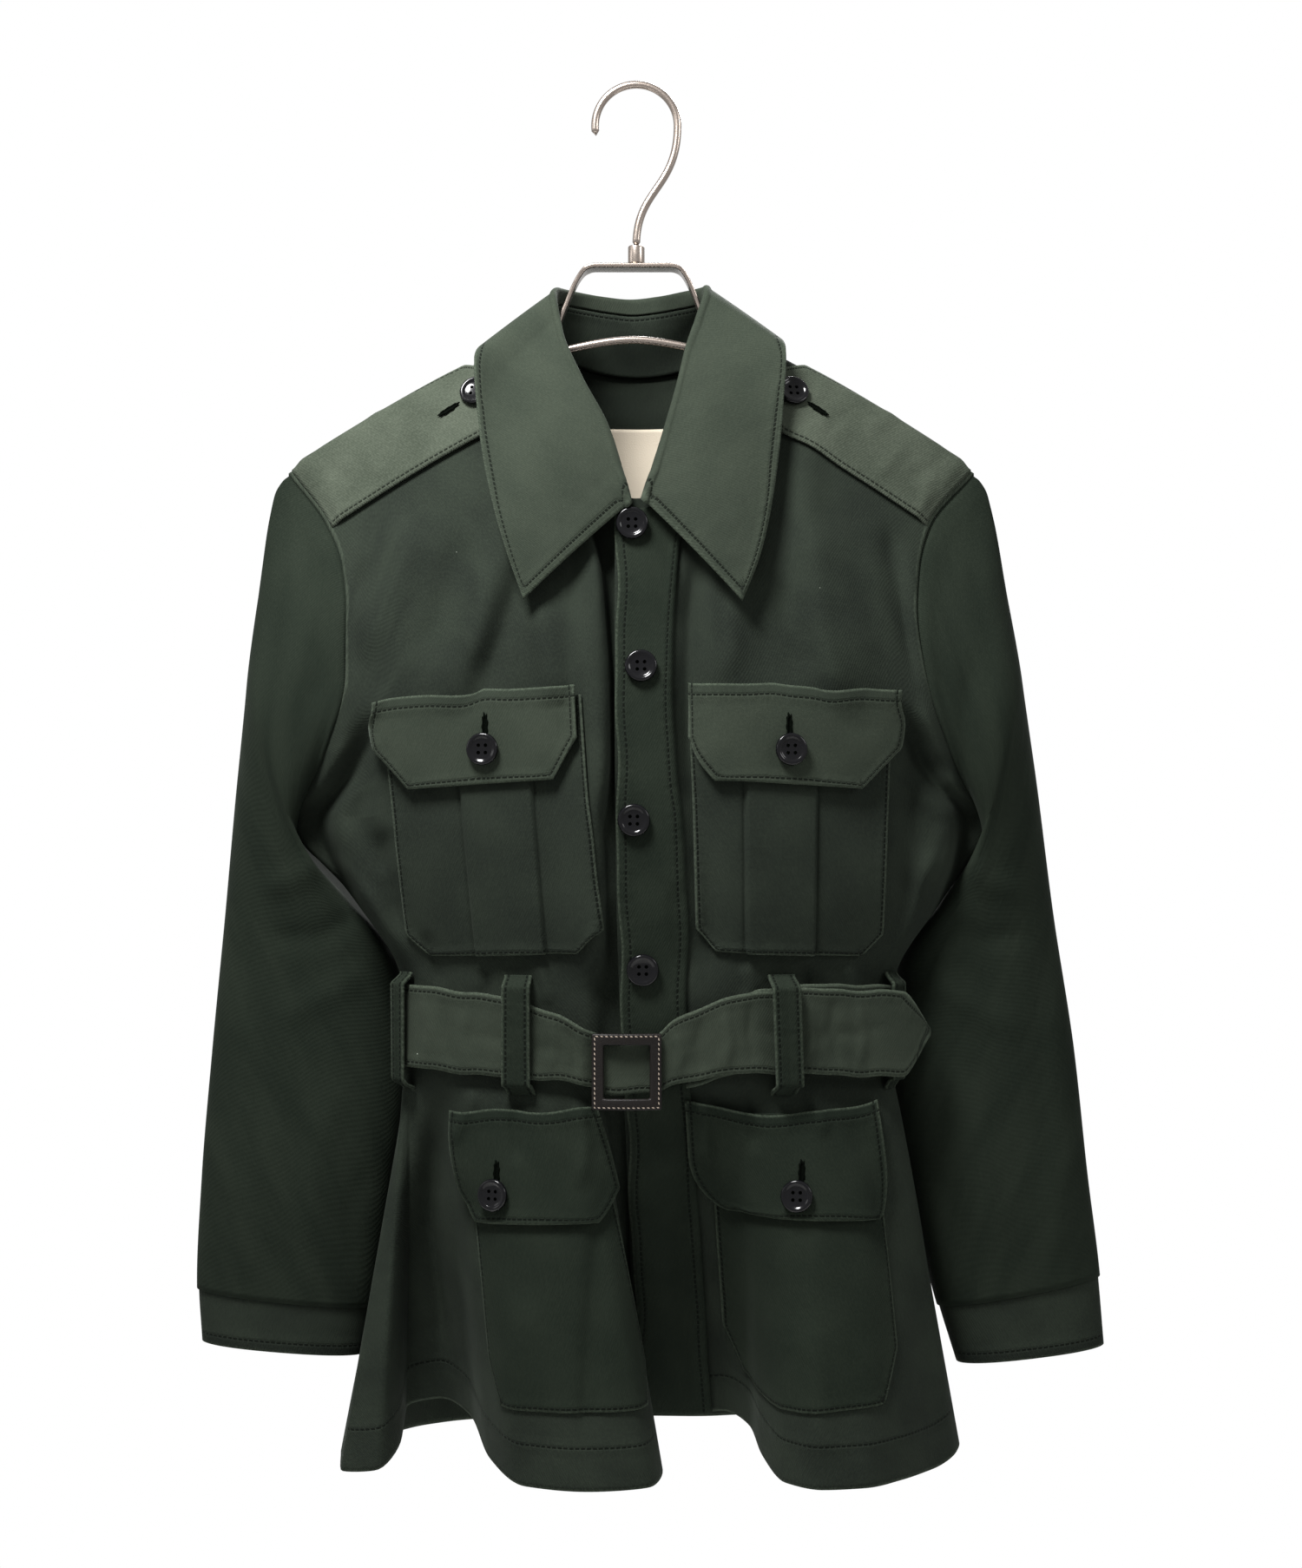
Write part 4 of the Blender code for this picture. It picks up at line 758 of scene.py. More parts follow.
def height(v):
    """The height of a panel's row: evenly up to the armpit, then closer where the cloth turns."""
    low_part = np.clip(v / ARMPIT_ROW, 0, 1)
    turned = (1 - np.cos(math.pi * np.clip((v - ARMPIT_ROW) / (1 - ARMPIT_ROW), 0, 1))) / 2
    return HEM + (ARMPIT - HEM) * low_part + (SHOULDER_TIP - ARMPIT) * turned


def front_panel(side):
    return lambda u, v: front(side, u, height(v))


def whole_back(u, v):
    return back(2 * u - 1, height(v))


for side, flat, area in ((RIGHT, (0.33, 0.69), 0.158), (LEFT, (0.30, 0.68), 0.141)):
    cloth(NAME[side] + "_front", 115, 190, front_panel(side), flat, "hung", ON_HANGER, area=area,
          rim="rb", rows_sewn=HEM_STITCHES)
cloth("back", 160, 170, whole_back, (0.50, 0.68), "hung", ON_HANGER, area=0.24, rim="lrb",
      rows_sewn=HEM_STITCHES)

# The placket. A doubled strip of the same twill sewn down the left front's edge, where the
# buttons stand; two rows of stitches hold it.
LAYER = 2.4
PLACKET_SHARES = (0.004, 0.150)


def placket(u, v):
    """u runs away from the open edge, which is a little uneven, as hand wear leaves it."""
    h = height(v * 0.955) + (1 - v)
    uneven = np.sin(h / 17) + 0.6 * np.sin(h / 9 + 2)
    across = PLACKET_SHARES[0] + (PLACKET_SHARES[1] - PLACKET_SHARES[0]) * u
    across = across + 0.003 * uneven * (1 - 0.6 * u)
    return on_front(LEFT, across, h, LAYER + 0.25 * uneven * (1 - u))


# The placket takes the deep twill, a darker copy with painted shade.
cloth("placket", 18, 180, placket, (0.040, 0.57), "laid", ["left_front_cloth"], rim="l",
      rows_sewn=(("lr", 5.0),), look=deep)

# The sleeves and their cuffs. Each sleeve is a tube of twill set into its armhole; the cuff is a
# doubled band sewn over its end.
GAP = 0.3
RIGHT_SLEEVE = (
    ("along", "outer_x", "outer_z", "inner_x", "inner_z", "front", "back"),
    (0.00, -212, -238, -206, -440, -47, 43),
    (0.08, -221, -258, -206, -446, -46, 45),
    (0.20, -227, -310, -202, -456, -44, 47),
    (0.32, -233, -366, -190, -468, -38, 49),
    (0.44, -240, -425, -169, -490, -30, 50),
    (0.56, -248, -500, -141, -527, -20, 52),
    (0.68, -256, -580, -137, -585, -15, 50),
    (0.80, -262, -652, -146, -655, -12, 46),
    (0.92, -265, -716, -158, -727, -8, 41),
    (1.00, -263, -752, -164, -760, -6, 39),
)
LEFT_SLEEVE = (
    ("along", "outer_x", "outer_z", "inner_x", "inner_z", "front", "back"),
    (0.00, 206, -238, 210, -440, -47, 43),
    (0.08, 215, -258, 211, -446, -46, 45),
    (0.20, 223, -310, 207, -456, -44, 47),
    (0.32, 231, -362, 196, -468, -38, 49),
    (0.44, 240, -418, 181, -490, -30, 50),
    (0.56, 251, -495, 156, -527, -20, 52),
    (0.68, 264, -578, 152, -585, -15, 50),
    (0.80, 272, -652, 163, -655, -12, 46),
    (0.92, 279, -708, 181, -726, -8, 41),
    (1.00, 283, -754, 193, -765, -6, 39),
)
CUFF_START = 0.925
CUFF_OUT = 0.9
CUFF_LIFT = 0.5
CUFF_WALL = 1.8
SLEEVE_ROUNDNESS = 0.85
ARMHOLE_BLEND = 0.30
SLEEVE_CREASES = {
    (RIGHT, "front"): (
        (((-206, -262), (-204, -330), (-198, -400)), 7, 9, 1.5),
        (((-190, -330), (-186, -350), (-188, -372)), 5, 5, -1.1),
        (((-222, -300), (-216, -380), (-214, -460)), 8, 8, -1.4),
        (((-176, -452), (-196, -470), (-226, -480)), 7, 8, 1.8),
        (((-160, -490), (-186, -506), (-222, -508)), 7, 7, -1.8),
        (((-156, -524), (-180, -540), (-216, -556)), 8, 9, 1.7),
        (((-236, -500), (-224, -560), (-220, -630)), 8, 10, -1.7),
        (((-176, -590), (-190, -640), (-196, -700)), 10, 9, 1.5),
        (((-240, -640), (-232, -680), (-234, -716)), 8, 8, 1.4),
        (((-160, -640), (-172, -676), (-170, -716)), 7, 8, -1.3),
    ),
    (LEFT, "front"): (
        (((206, -262), (214, -330), (214, -400)), 8, 8, 1.5),
        (((196, -340), (192, -380), (196, -420)), 7, 6, -1.7),
        (((184, -452), (206, -474), (234, -484)), 7, 8, 2),
        (((176, -496), (204, -508), (238, -506)), 7, 7, -1.8),
        (((170, -530), (196, -546), (234, -566)), 9, 8, 1.7),
        (((246, -500), (240, -570), (246, -640)), 10, 8, -1.7),
        (((192, -590), (206, -640), (214, -706)), 10, 10, 1.5),
        (((256, -630), (250, -670), (254, -710)), 8, 8, 1.4),
        (((178, -640), (192, -680), (196, -716)), 7, 8, -1.3),
    ),
    (RIGHT, "back"): (
        (((-200, -290), (-206, -360), (-204, -420)), 10, 9, -1.5),
        (((-170, -480), (-196, -500), (-230, -520)), 8, 8, 2),
        (((-164, -520), (-190, -544), (-226, -560)), 8, 8, -1.7),
        (((-200, -580), (-206, -640), (-204, -706)), 11, 10, 1.8),
        (((-236, -600), (-234, -660), (-238, -710)), 8, 9, -1.4),
    ),
    (LEFT, "back"): (
        (((206, -290), (212, -350), (206, -424)), 9, 10, -1.5),
        (((178, -484), (206, -496), (238, -524)), 8, 8, 1.8),
        (((172, -526), (200, -540), (236, -566)), 8, 8, -1.8),
        (((204, -580), (214, -640), (222, -706)), 11, 11, 1.8),
        (((250, -600), (252, -650), (260, -706)), 9, 8, -1.4),
    ),
}
SLEEVES = {RIGHT: curves(RIGHT_SLEEVE), LEFT: curves(LEFT_SLEEVE)}


def sleeve_ring(side, v, s):
    """A point of the table's own rings, each an upright oval between its outer and inner edge."""
    line = {name: read(s) for name, read in SLEEVES[side].items()}
    cos, sin = np.cos(2 * math.pi * v), np.sin(2 * math.pi * v)
    inward = np.sign(cos) * np.abs(cos) ** SLEEVE_ROUNDNESS
    deep = np.sign(sin) * np.abs(sin) ** SLEEVE_ROUNDNESS
    x = (line["outer_x"] + line["inner_x"]) / 2 + (line["inner_x"] - line["outer_x"]) / 2 * inward
    z = (line["outer_z"] + line["inner_z"]) / 2 + (line["inner_z"] - line["outer_z"]) / 2 * inward
    y = (line["front"] + line["back"]) / 2 + (line["front"] - line["back"]) / 2 * deep
    return point(x, y, z)


def sleeve(side, v, s):
    """A point of a sleeve: v runs round it from the underarm over the front, s down to the cuff.
    Its first ring is the armhole of the front and the back."""
    v, s = np.broadcast_arrays(np.asarray(v, float), np.asarray(s, float))
    h = ARMPIT + (SHOULDER_TIP - ARMPIT) * (1 - np.cos(2 * math.pi * v)) / 2
    whole = np.ones_like(v)
    hole = np.where((v % 1 <= 0.5)[..., None], front(side, whole, h), back(side * whole, h))
    hole = hole + np.array([side * GAP, 0, 0])
    blend = (1 - ease(0, ARMHOLE_BLEND, s))[..., None]
    spot = sleeve_ring(side, v, s) + (hole - sleeve_ring(side, v, 0 * s)) * blend
    turn = np.sin(2 * math.pi * v)
    seen = np.abs(turn) ** 0.5 * ease(0, 0.06, s) * (1 - ease(0.90, 0.925, s))
    ahead = lifted(spot[..., 0], spot[..., 2], SLEEVE_CREASES[side, "front"])
    behind = lifted(spot[..., 0], spot[..., 2], SLEEVE_CREASES[side, "back"])
    head = 1.3 * np.exp(-(((s - 0.04) / 0.025) ** 2)) - 1.6 * np.exp(-(((s - 0.006) / 0.007) ** 2))
    spot[..., 0] += side * head * (1 - np.abs(turn)) * (np.cos(2 * math.pi * v) < 0)
    spot[..., 1] += np.where(turn > 0, -ahead, behind) * seen - turn * head
    return spot


def on_sleeve(side, v, s, out):
    return raised(lambda a, b: sleeve(side, a, b), v, s, side * np.asarray(out, float), 0.004, 0.004)


def sleeve_tube(side):
    return lambda u, v: sleeve(side, u, (CUFF_START + 0.004) * v**1.35)


def cuff_tube(side):
    return lambda u, v: on_sleeve(side, u, CUFF_START + (1 - CUFF_START) * v, CUFF_OUT + CUFF_LIFT)


# The sleeves take the deep twill, darkened with painted shade; the cuffs take the plain twill.
for side in (RIGHT, LEFT):
    cloth(NAME[side] + "_sleeve", 116, 165, sleeve_tube(side), (0.45, 0.50), "hung",
          [NAME[side] + "_front_cloth"], area=0.108, closed=True, flip=side == LEFT, look=deep)
    cloth(NAME[side] + "_cuff", 116, 20, cuff_tube(side), (0.24, 0.037), "hung",
          [NAME[side] + "_sleeve_cloth"], closed=True, flip=side == LEFT, rim="bt",
          rows_sewn=(("b", 1.6), ("t", 6.0)), wall=CUFF_WALL)

# The collar. A stand sewn into the neckline and a fall that rolls over it and lies on the
# shoulders, ending in two points; a row of stitches follows its edge.
COLLAR = (
    ("around", "roll_x", "roll_y", "roll_z", "edge_x", "edge_y", "edge_z", "bulge"),
    (0.00, -3, -66, -254, -64, -77, -311, 2),
    (0.08, -16, -54, -212, -74, -71, -283, 4),
    (0.15, -32, -40, -181, -82, -62, -256, 6),
    (0.22, -44, -22, -151, -91, -45, -212, 6),
    (0.30, -48, -2, -125, -95, -33, -168, 2),
    (0.35, -45, 12, -120, -90, -4, -155, 1),
    (0.41, -34, 32, -119, -76, 34, -158, 2),
    (0.46, -18, 42, -120, -46, 56, -168, 3),
    (0.50, -3, 45, -121, -3, 63, -174, 4),
    (0.54, 12, 42, -120, 42, 56, -168, 3),
    (0.59, 27, 32, -119, 70, 34, -156, 2),
    (0.65, 40, 12, -119, 84, -4, -151, 1),
    (0.70, 41, -2, -124, 88, -33, -163, 2),
    (0.78, 32, -24, -156, 86, -40, -197, 6),
    (0.85, 26, -40, -181, 80, -58, -245, 6),
    (0.92, 16, -54, -216, 72, -70, -283, 4),
    (1.00, 4, -66, -252, 61, -77, -312, 2),
)
COLLAR_ROLL = 2.6
STAND_DROP = 8.0
NECK_INSET = 3.0
COLLAR_LINES = curves(COLLAR)


def roll_line(q):
    return point(*(COLLAR_LINES["roll_" + axis](q) for axis in "xyz"))


def neck_seam(q):
    """The foot of the stand, just inside the neckline of the fronts and the back."""
    turn = 2 * math.pi * np.clip(q, 0.035, 0.965)
    front_half = np.cos(turn) > 0
    turned = 1 - np.abs(np.cos(turn))
    neck_y = np.where(front_half, FRONT_NECK[0], BACK_NECK[0])
    neck_z = np.where(front_half, FRONT_NECK[1], BACK_NECK[1])
    inside = 1 - NECK_INSET / NECK_HALF
    x = -NECK_HALF * inside * np.sin(turn)
    y = (neck_y + (SHOULDER_DEPTH - neck_y) * turned**0.9) * inside
    z = neck_z + (NECK_POINT_HEIGHT - neck_z) * turned
    return point(x, y, z + 0.4)


def collar_stand(q, t):
    """t runs up the stand, from the neck seam to just under the roll."""
    roll = roll_line(q)
    foot = neck_seam(q)
    up = roll - foot
    length = np.linalg.norm(up, axis=-1, keepdims=True)
    share = 1 - np.minimum(STAND_DROP / length, 0.5)
    return foot + up * share * t[..., None]


def collar_fall(q, t):
    """t runs up the inside from the stand's seam, over the roll and down to the outer edge."""
    roll, foot = roll_line(q), neck_seam(q)
    edge = point(*(COLLAR_LINES["edge_" + axis](q) for axis in "xyz"))
    up = (roll - foot) / np.linalg.norm(roll - foot, axis=-1, keepdims=True)
    away = edge - roll
    away = away - up * np.sum(away * up, -1, keepdims=True)
    away = away / np.linalg.norm(away, axis=-1, keepdims=True)
    length = np.linalg.norm(roll - foot, axis=-1, keepdims=True)
    drop = np.minimum(STAND_DROP, length * 0.5) - 1.1
    turn = math.pi * np.clip((t - 0.12) / 0.22, 0, 1)[..., None]
    inner = roll - up * drop * np.clip(1 - t / 0.12, 0, 1)[..., None]
    crown = away * COLLAR_ROLL * (1 - np.cos(turn)) + up * COLLAR_ROLL * np.sin(turn)
    leaf = np.clip((t - 0.34) / 0.66, 0, 1)[..., None]
    start = roll + away * 2 * COLLAR_ROLL
    bulge = COLLAR_LINES["bulge"](q)[..., None] * 4 * leaf * (1 - leaf)
    outward = point(0 * q, -np.cos(2 * math.pi * q), 0.4 + 0 * q)
    return inner + crown + (edge - start) * leaf + outward * bulge


cloth("collar_stand", 140, 20, lambda u, v: collar_stand(0.03 + 0.94 * u, v), (0.42, 0.038), "hung",
      BODY_CLOTH, area=0.0093, rows_sewn=(("t", 2.2),))
# The fall takes the rubbed twill, paler partly for wear and partly with painted light.
cloth("collar_fall", 200, 60, collar_fall, (0.60, 0.10), "folded", ["collar_stand_cloth"],
      area=0.0384, look=rubbed_and_lit, rim="ltr", rows_sewn=(("ltr", 3.6),))

# The epaulettes. A pointed strap of doubled twill sewn into each shoulder seam, that lies over
# the seam and is buttoned beside the collar.
EPAULETTE_ENDS = (0.20, 0.985)
EPAULETTE_FRONT = (-56.0, -48.0)
EPAULETTE_BACK = (-3.0, 5.0)
EPAULETTE_POINT = 0.12
EPAULETTE_POINT_WIDTH = 0.45
EPAULETTE_RIDGE = 5 / 6
EPAULETTE_OUT = 3.15
EPAULETTE_SIZE = (140, 55)
# The strap's wrinkles, placed by the distance from its point and from its front edge.
EPAULETTE_CREASES = (
    (((22, 6), (30, 22), (34, 44)), 5, 4, 0.7),
    (((48, 4), (50, 18), (58, 30)), 4, 4, -0.6),
    (((70, 20), (78, 34), (80, 50)), 5, 5, 0.7),
    (((92, 2), (96, 14), (98, 30)), 4, 5, 0.8),
    (((110, 10), (120, 26), (122, 46)), 5, 4, -0.7),
    (((131, 2), (128, 12), (122, 20)), 2.5, 3, 0.8),
    (((133, 16), (129, 24), (124, 30)), 2.5, 3, -0.6),
)


def shoulder(side, k, across):
    """A point over the shoulder seam: k runs from the neck to the armhole, across is the distance
    over the cloth, forwards where it is negative."""
    k, across = np.broadcast_arrays(np.asarray(k, float), np.asarray(across, float))
    u = (NECK_SHARE + (1 - NECK_SHARE) * k)[:, None]
    heights = SHOULDER_TIP - (SHOULDER_TIP - ARMPIT) * np.linspace(0, 0.62, 63) ** 1.6
    runs = np.where((across < 0)[:, None, None], smooth_front(side, u, heights[None, :]),
                    smooth_back(side * u, heights[None, :]))
    found = np.zeros(k.shape + (3,))
    for i, run in enumerate(runs):
        length = np.concatenate([[0], np.cumsum(np.linalg.norm(np.diff(run, axis=0), axis=1))])
        found[i] = [np.interp(abs(across[i]), length, run[:, axis]) for axis in range(3)]
    return found


def on_shoulder(side, k, across, out):
    return raised(lambda a, b: shoulder(side, a, b), k, across, side * np.asarray(out), 0.01, 1.5)


def epaulette(side):
    def place(u, v):
        k = EPAULETTE_ENDS[0] + (EPAULETTE_ENDS[1] - EPAULETTE_ENDS[0]) * u
        low = EPAULETTE_FRONT[0] + (EPAULETTE_FRONT[1] - EPAULETTE_FRONT[0]) * u
        high = EPAULETTE_BACK[0] + (EPAULETTE_BACK[1] - EPAULETTE_BACK[0]) * u
        pointed = (1 - EPAULETTE_POINT_WIDTH) * np.clip(u / EPAULETTE_POINT, 0, 1)
        middle, half = (low + high) / 2, (high - low) / 2 * (EPAULETTE_POINT_WIDTH + pointed)
        low, high = middle - half, middle + half
        ridge = np.minimum(high - 2, 0)
        rows_down = np.clip(1 - v / EPAULETTE_RIDGE, 0, 1) ** 1.5
        over = np.clip((v - EPAULETTE_RIDGE) / (1 - EPAULETTE_RIDGE), 0, 1)
        across = ridge + (low - ridge) * rows_down + (high - ridge) * over
        out = EPAULETTE_OUT * (1 - 0.75 * ease(0.93, 1.0, u))
        out = out + lifted(u * EPAULETTE_SIZE[0], v * EPAULETTE_SIZE[1], EPAULETTE_CREASES)
        return on_shoulder(side, k, across, out)

    return place


# The straps take the faded twill, paler partly for fading and partly with painted light.
for side in (RIGHT, LEFT):
    cloth(NAME[side] + "_epaulette", 60, 30, epaulette(side), (0.144, 0.057), "laid",
          [NAME[side] + "_front_cloth", "back_cloth"], area=0.0072, look=faded_and_lit, flip=side == RIGHT,
          rim="lbt", rows_sewn=(("lbt", 2.8),))

# The chest pockets. A patch pocket with a raised box pleat down its middle, under a flap with
# cut corners that buttons over it.
CHEST_POCKET_OUT = 4.0
CHEST_POCKET_SINK = 1.4
PLEAT_RISE = 2.4
PLEAT_SLIT = (0.8, 0.006, 0.007)
POCKET_STITCHES = (("ltr", 2.0),)
FLAP_STITCHES = (("ltr", 3.2), ("b", 6.3))
CHEST_FLAP_OUT = 8.0
CHEST_POCKET = {
    RIGHT: ((-30, -366), (-146, -371), (-19.5, -512), (-131, -516), (13, 13)),
    LEFT: ((30, -366), (147, -368), (34, -512), (142, -516), (13, 13)),
}
CHEST_FLAP = {
    RIGHT: ((-32, -361), (-149.5, -368), (-28.5, -413), (-145, -420), (17, 22)),
    LEFT: ((29, -359.5), (151, -363), (27, -413), (147, -420), (19, 22)),
}
CHEST_WIDTH = 116.0
PLEAT_EDGE = 0.009
PLEAT = {RIGHT: (0.28, 0.64), LEFT: (0.27, 0.63)}


def seen_at(surface, x, z, u, h):
    """The u and h at which a surface has this x and z, found by Newton's steps."""
    u, h = np.broadcast_arrays(np.asarray(u, float), np.asarray(h, float))
    for _ in range(16):
        p = surface(u, h)
        du = (surface(u + 0.002, h) - p) / 0.002
        dh = p - surface(u, h - 1.0)
        miss_x, miss_z = x - p[..., 0], z - p[..., 2]
        det = du[..., 0] * dh[..., 2] - dh[..., 0] * du[..., 2]
        u = np.clip(u + 0.7 * (miss_x * dh[..., 2] - miss_z * dh[..., 0]) / det, -1, 1)
        h = np.minimum(h + 0.7 * (du[..., 0] * miss_z - du[..., 2] * miss_x) / det, SHOULDER_TIP - 2)
    return u, h


def chest_point(side, x, z, out):
    """A point lying on a front's chest, placed as it is seen from the front."""
    guess_u = 0.1 + 0.85 * np.abs(x) / 190
    u, h = seen_at(lambda a, b: smooth_front(side, a, b), x, z, guess_u, z)
    return on_front(side, u, h, out)


def cut_panel(corners, s, t, reach, rounded=False, outer=1.0):
    """Two coordinates inside four corners; s runs away from the middle, t down; its two bottom
    corners are cut off or rounded, the outer one by less where outer is below one. reach is the
    piece's width in the first coordinate's unit."""
    top_in, top_out, low_in, low_out, (cut_across, cut_down) = corners
    tall = abs(top_in[1] - low_in[1])
    cut = np.clip((t - (1 - cut_down / tall)) * tall / cut_down, 0, 1)
    if rounded:
        cut = 1 - np.sqrt(1 - (0.985 * cut) ** 2)
    cut = cut * cut_across / reach
    s = cut + s * (1 - (1 + outer) * cut)
    first = [(1 - t) * ((1 - s) * top_in[i] + s * top_out[i]) for i in (0, 1)]
    return [first[i] + t * ((1 - s) * low_in[i] + s * low_out[i]) for i in (0, 1)]


def chest_pocket(side):
    def place(s, t):
        first, last = PLEAT[side]
        top_in, top_out, low_in, low_out = CHEST_POCKET[side][:4]
        x, z = cut_panel(CHEST_POCKET[side], s, t, CHEST_WIDTH)
        inner = top_in[0] + (low_in[0] - top_in[0]) * t
        s = (x - inner) / (top_out[0] + (low_out[0] - top_out[0]) * t - inner)
        pleat = ease(first, first + PLEAT_EDGE, s) * (1 - ease(last - PLEAT_EDGE, last, s))
        depth, beside, spread = PLEAT_SLIT
        slit = sum(np.exp(-((off / spread) ** 2)) for off in (s - first + beside, s - last - beside))
        out = CHEST_POCKET_OUT - CHEST_POCKET_SINK + PLEAT_RISE * pleat - depth * slit
        return chest_point(side, x, z, out)

    return place


def chest_flap(side):
    def place(s, t):
        x, z = cut_panel(CHEST_FLAP[side], s, t, CHEST_WIDTH)
        return chest_point(side, x, z, CHEST_FLAP_OUT + 0 * s)

    return place


# The flaps take the rubbed twill, paler partly for wear and partly with painted light.
for side in (RIGHT, LEFT):
    cloth(NAME[side] + "_chest_pocket", 110, 80, chest_pocket(side), (0.127, 0.157), "laid",
          [NAME[side] + "_front_cloth"], flip=side == LEFT, rim="ltr", rows_sewn=POCKET_STITCHES)
    cloth(NAME[side] + "_chest_flap", 80, 40, chest_flap(side), (0.125, 0.056), "laid",
          [NAME[side] + "_chest_pocket_cloth"], flip=side == LEFT, rim="lbrt",
          rows_sewn=FLAP_STITCHES, look=rubbed_and_lit)

# The skirt pockets. Larger patch pockets on the skirt, sewn down with a single row, each under
# a wide flap that buttons over it; the right flap's lower corners are cut, the left's rounded.
POCKET_OUT = 1.5
SKIRT_FLAP_OUT = 4.9
SKIRT_POCKET = {
    RIGHT: ((0.215, -606), (0.545, -606), (0.215, -772), (0.530, -772), (0.07, 24)),
    LEFT: ((0.185, -606), (0.690, -606), (0.195, -776), (0.715, -770), (0.11, 30)),
}
SKIRT_FLAP = {
    RIGHT: ((0.205, -602), (0.575, -604), (0.205, -667), (0.560, -669), (0.18, 17)),
    LEFT: ((0.135, -597), (0.690, -600), (0.130, -664), (0.715, -669), (0.20, 34)),
}
# The flaps' upper edges sag and waver; their outer edges stand away from the pocket.
FLAP_SAG = {RIGHT: 1.5, LEFT: 8.0}
FLAP_WAVE = 1.2
FLAP_BOW = {RIGHT: 5.0, LEFT: 1.5}
SKIRT_CUT = {RIGHT: ((0.107, 0.166), (0.099, 0.066)), LEFT: ((0.128, 0.168), (0.117, 0.070))}


def skirt_piece(side, corners, out):
    def place(s, t):
        flap = corners is SKIRT_FLAP
        u, h = cut_panel(corners[side], s, t, 1, flap and side == LEFT, 0.5 if flap else 1.0)
        if flap:
            sag = FLAP_SAG[side] * np.sin(math.pi * s) - FLAP_WAVE * np.sin(11 * s + 1)
            h = h - sag * (1 - t)
            bowed = FLAP_BOW[side] * ease(0.72, 1.0, s) * np.sin(math.pi * np.clip(0.15 + t, 0, 1))
            return on_front(side, u, h, out + bowed)
        return on_front(side, u, h, out + 0 * s)

    return place


# The skirt pockets and flaps take the deep twill, darkened with painted shade.
for side in (RIGHT, LEFT):
    pocket_flat, flap_flat = SKIRT_CUT[side]
    cloth(NAME[side] + "_skirt_pocket", 80, 80, skirt_piece(side, SKIRT_POCKET, POCKET_OUT),
          pocket_flat, "laid", [NAME[side] + "_front_cloth"], flip=side == LEFT, rim="ltr",
          rows_sewn=POCKET_STITCHES, look=deep)
    cloth(NAME[side] + "_skirt_flap", 80, 40, skirt_piece(side, SKIRT_FLAP, SKIRT_FLAP_OUT),
          flap_flat, "laid", [NAME[side] + "_skirt_pocket_cloth"], flip=side == LEFT, rim="lbrt",
          rows_sewn=FLAP_STITCHES, look=deep)

# The belt. A doubled twill band round the waist through four loops, its free end carried on to
# the wearer's left past the buckle.
BELT = (
    ("around", "top", "bottom"),
    (0.000, -563, -595), (0.014, -558, -590), (0.036, -548, -586), (0.072, -539, -585),
    (0.160, -534, -582), (0.25, -535, -584), (0.50, -536, -586), (0.75, -537, -586),
    (0.90, -532, -583), (0.950, -534, -580), (0.975, -545, -584), (1.000, -560, -590),
)
BELT_HEIGHT = -560.0
BELT_CENTRE = (7.0, -8.0)
BELT_OUT = 5.8
BELT_WALL = 2.4
BELT_FREE_END = (
    ("along", "x", "y", "top", "bottom"),
    (0.00, -21, -78.5, -561, -593), (0.09, 8, -78, -561, -593), (0.16, 22, -77.5, -551, -588),
    (0.25, 42, -75.8, -542, -584), (0.40, 66, -72.6, -536, -582), (0.55, 94, -67, -534, -583),
    (0.80, 138, -52, -536, -586), (0.92, 155, -45, -537, -587), (1.00, 172, -36, -559, -563),
)
LOOPS = (
    ("name", "side", "u", "out"),
    ("right_side", RIGHT, 0.790, 10.5),
    ("right", RIGHT, 0.372, 10.0),
    ("left", LEFT, 0.383, 15.0),
    ("left_side", LEFT, 0.800, 10.0),
)
BELT_START = 0.14
LOOP_SHARE = 0.036
LOOP_FOOT = 2.3
LOOP_WALL = 1.8
LOOP_TOP, LOOP_BOTTOM = -526.0, -595.0
BELT_CREASES = (
    (((-124, -538), (-120, -560), (-122, -582)), 3, 4, 1.4),
    (((-112, -540), (-110, -562), (-106, -580)), 3, 3, -1.2),
    (((-98, -544), (-100, -566), (-96, -584)), 4, 3, 1.3),
    (((-62, -540), (-66, -560), (-60, -584)), 3, 4, -1.3),
    (((-50, -546), (-46, -566), (-50, -584)), 4, 3, 1.5),
    (((-38, -552), (-34, -570), (-36, -586)), 3, 3, -1.2),
    (((22, -556), (26, -570), (22, -586)), 3, 3, 1.5),
    (((38, -548), (34, -566), (38, -584)), 3, 4, -1.2),
    (((50, -544), (54, -564), (50, -582)), 4, 3, 1.4),
    (((66, -540), (64, -560), (68, -580)), 3, 3, -1.2),
    (((98, -540), (102, -560), (98, -580)), 4, 3, 1.5),
    (((114, -538), (112, -556), (116, -582)), 3, 4, -1.4),
    (((128, -540), (132, -562), (128, -584)), 3, 3, 1.2),
    (((60, -556), (100, -562), (150, -558)), 4, 5, -1.0),
    (((-110, -560), (-70, -564), (-30, -572)), 4, 5, -0.9),
)
BELT_LINES = curves(BELT)
FREE_END_LINES = curves(BELT_FREE_END)


def belt_path(around, out):
    """A plan point of the belt's path, and so of what goes round the belt."""
    at = np.asarray(around, float)
    level = np.full_like(at, BELT_HEIGHT)
    right = front(RIGHT, BELT_START + (1 - BELT_START) * np.clip(at / 0.25, 0, 1), level)
    behind = back(np.clip((at - 0.5) / 0.25, -1, 1), level)
    left = front(LEFT, BELT_START + (1 - BELT_START) * np.clip((1 - at) / 0.25, 0, 1), level)
    ring = np.where((at < 0.25)[..., None], right, np.where((at > 0.75)[..., None], left, behind))
    flat = ring[..., :2] - np.array(BELT_CENTRE)
    grown = 1 + np.asarray(out)[..., None] / np.linalg.norm(flat, axis=-1, keepdims=True)
    return np.array(BELT_CENTRE) + flat * grown


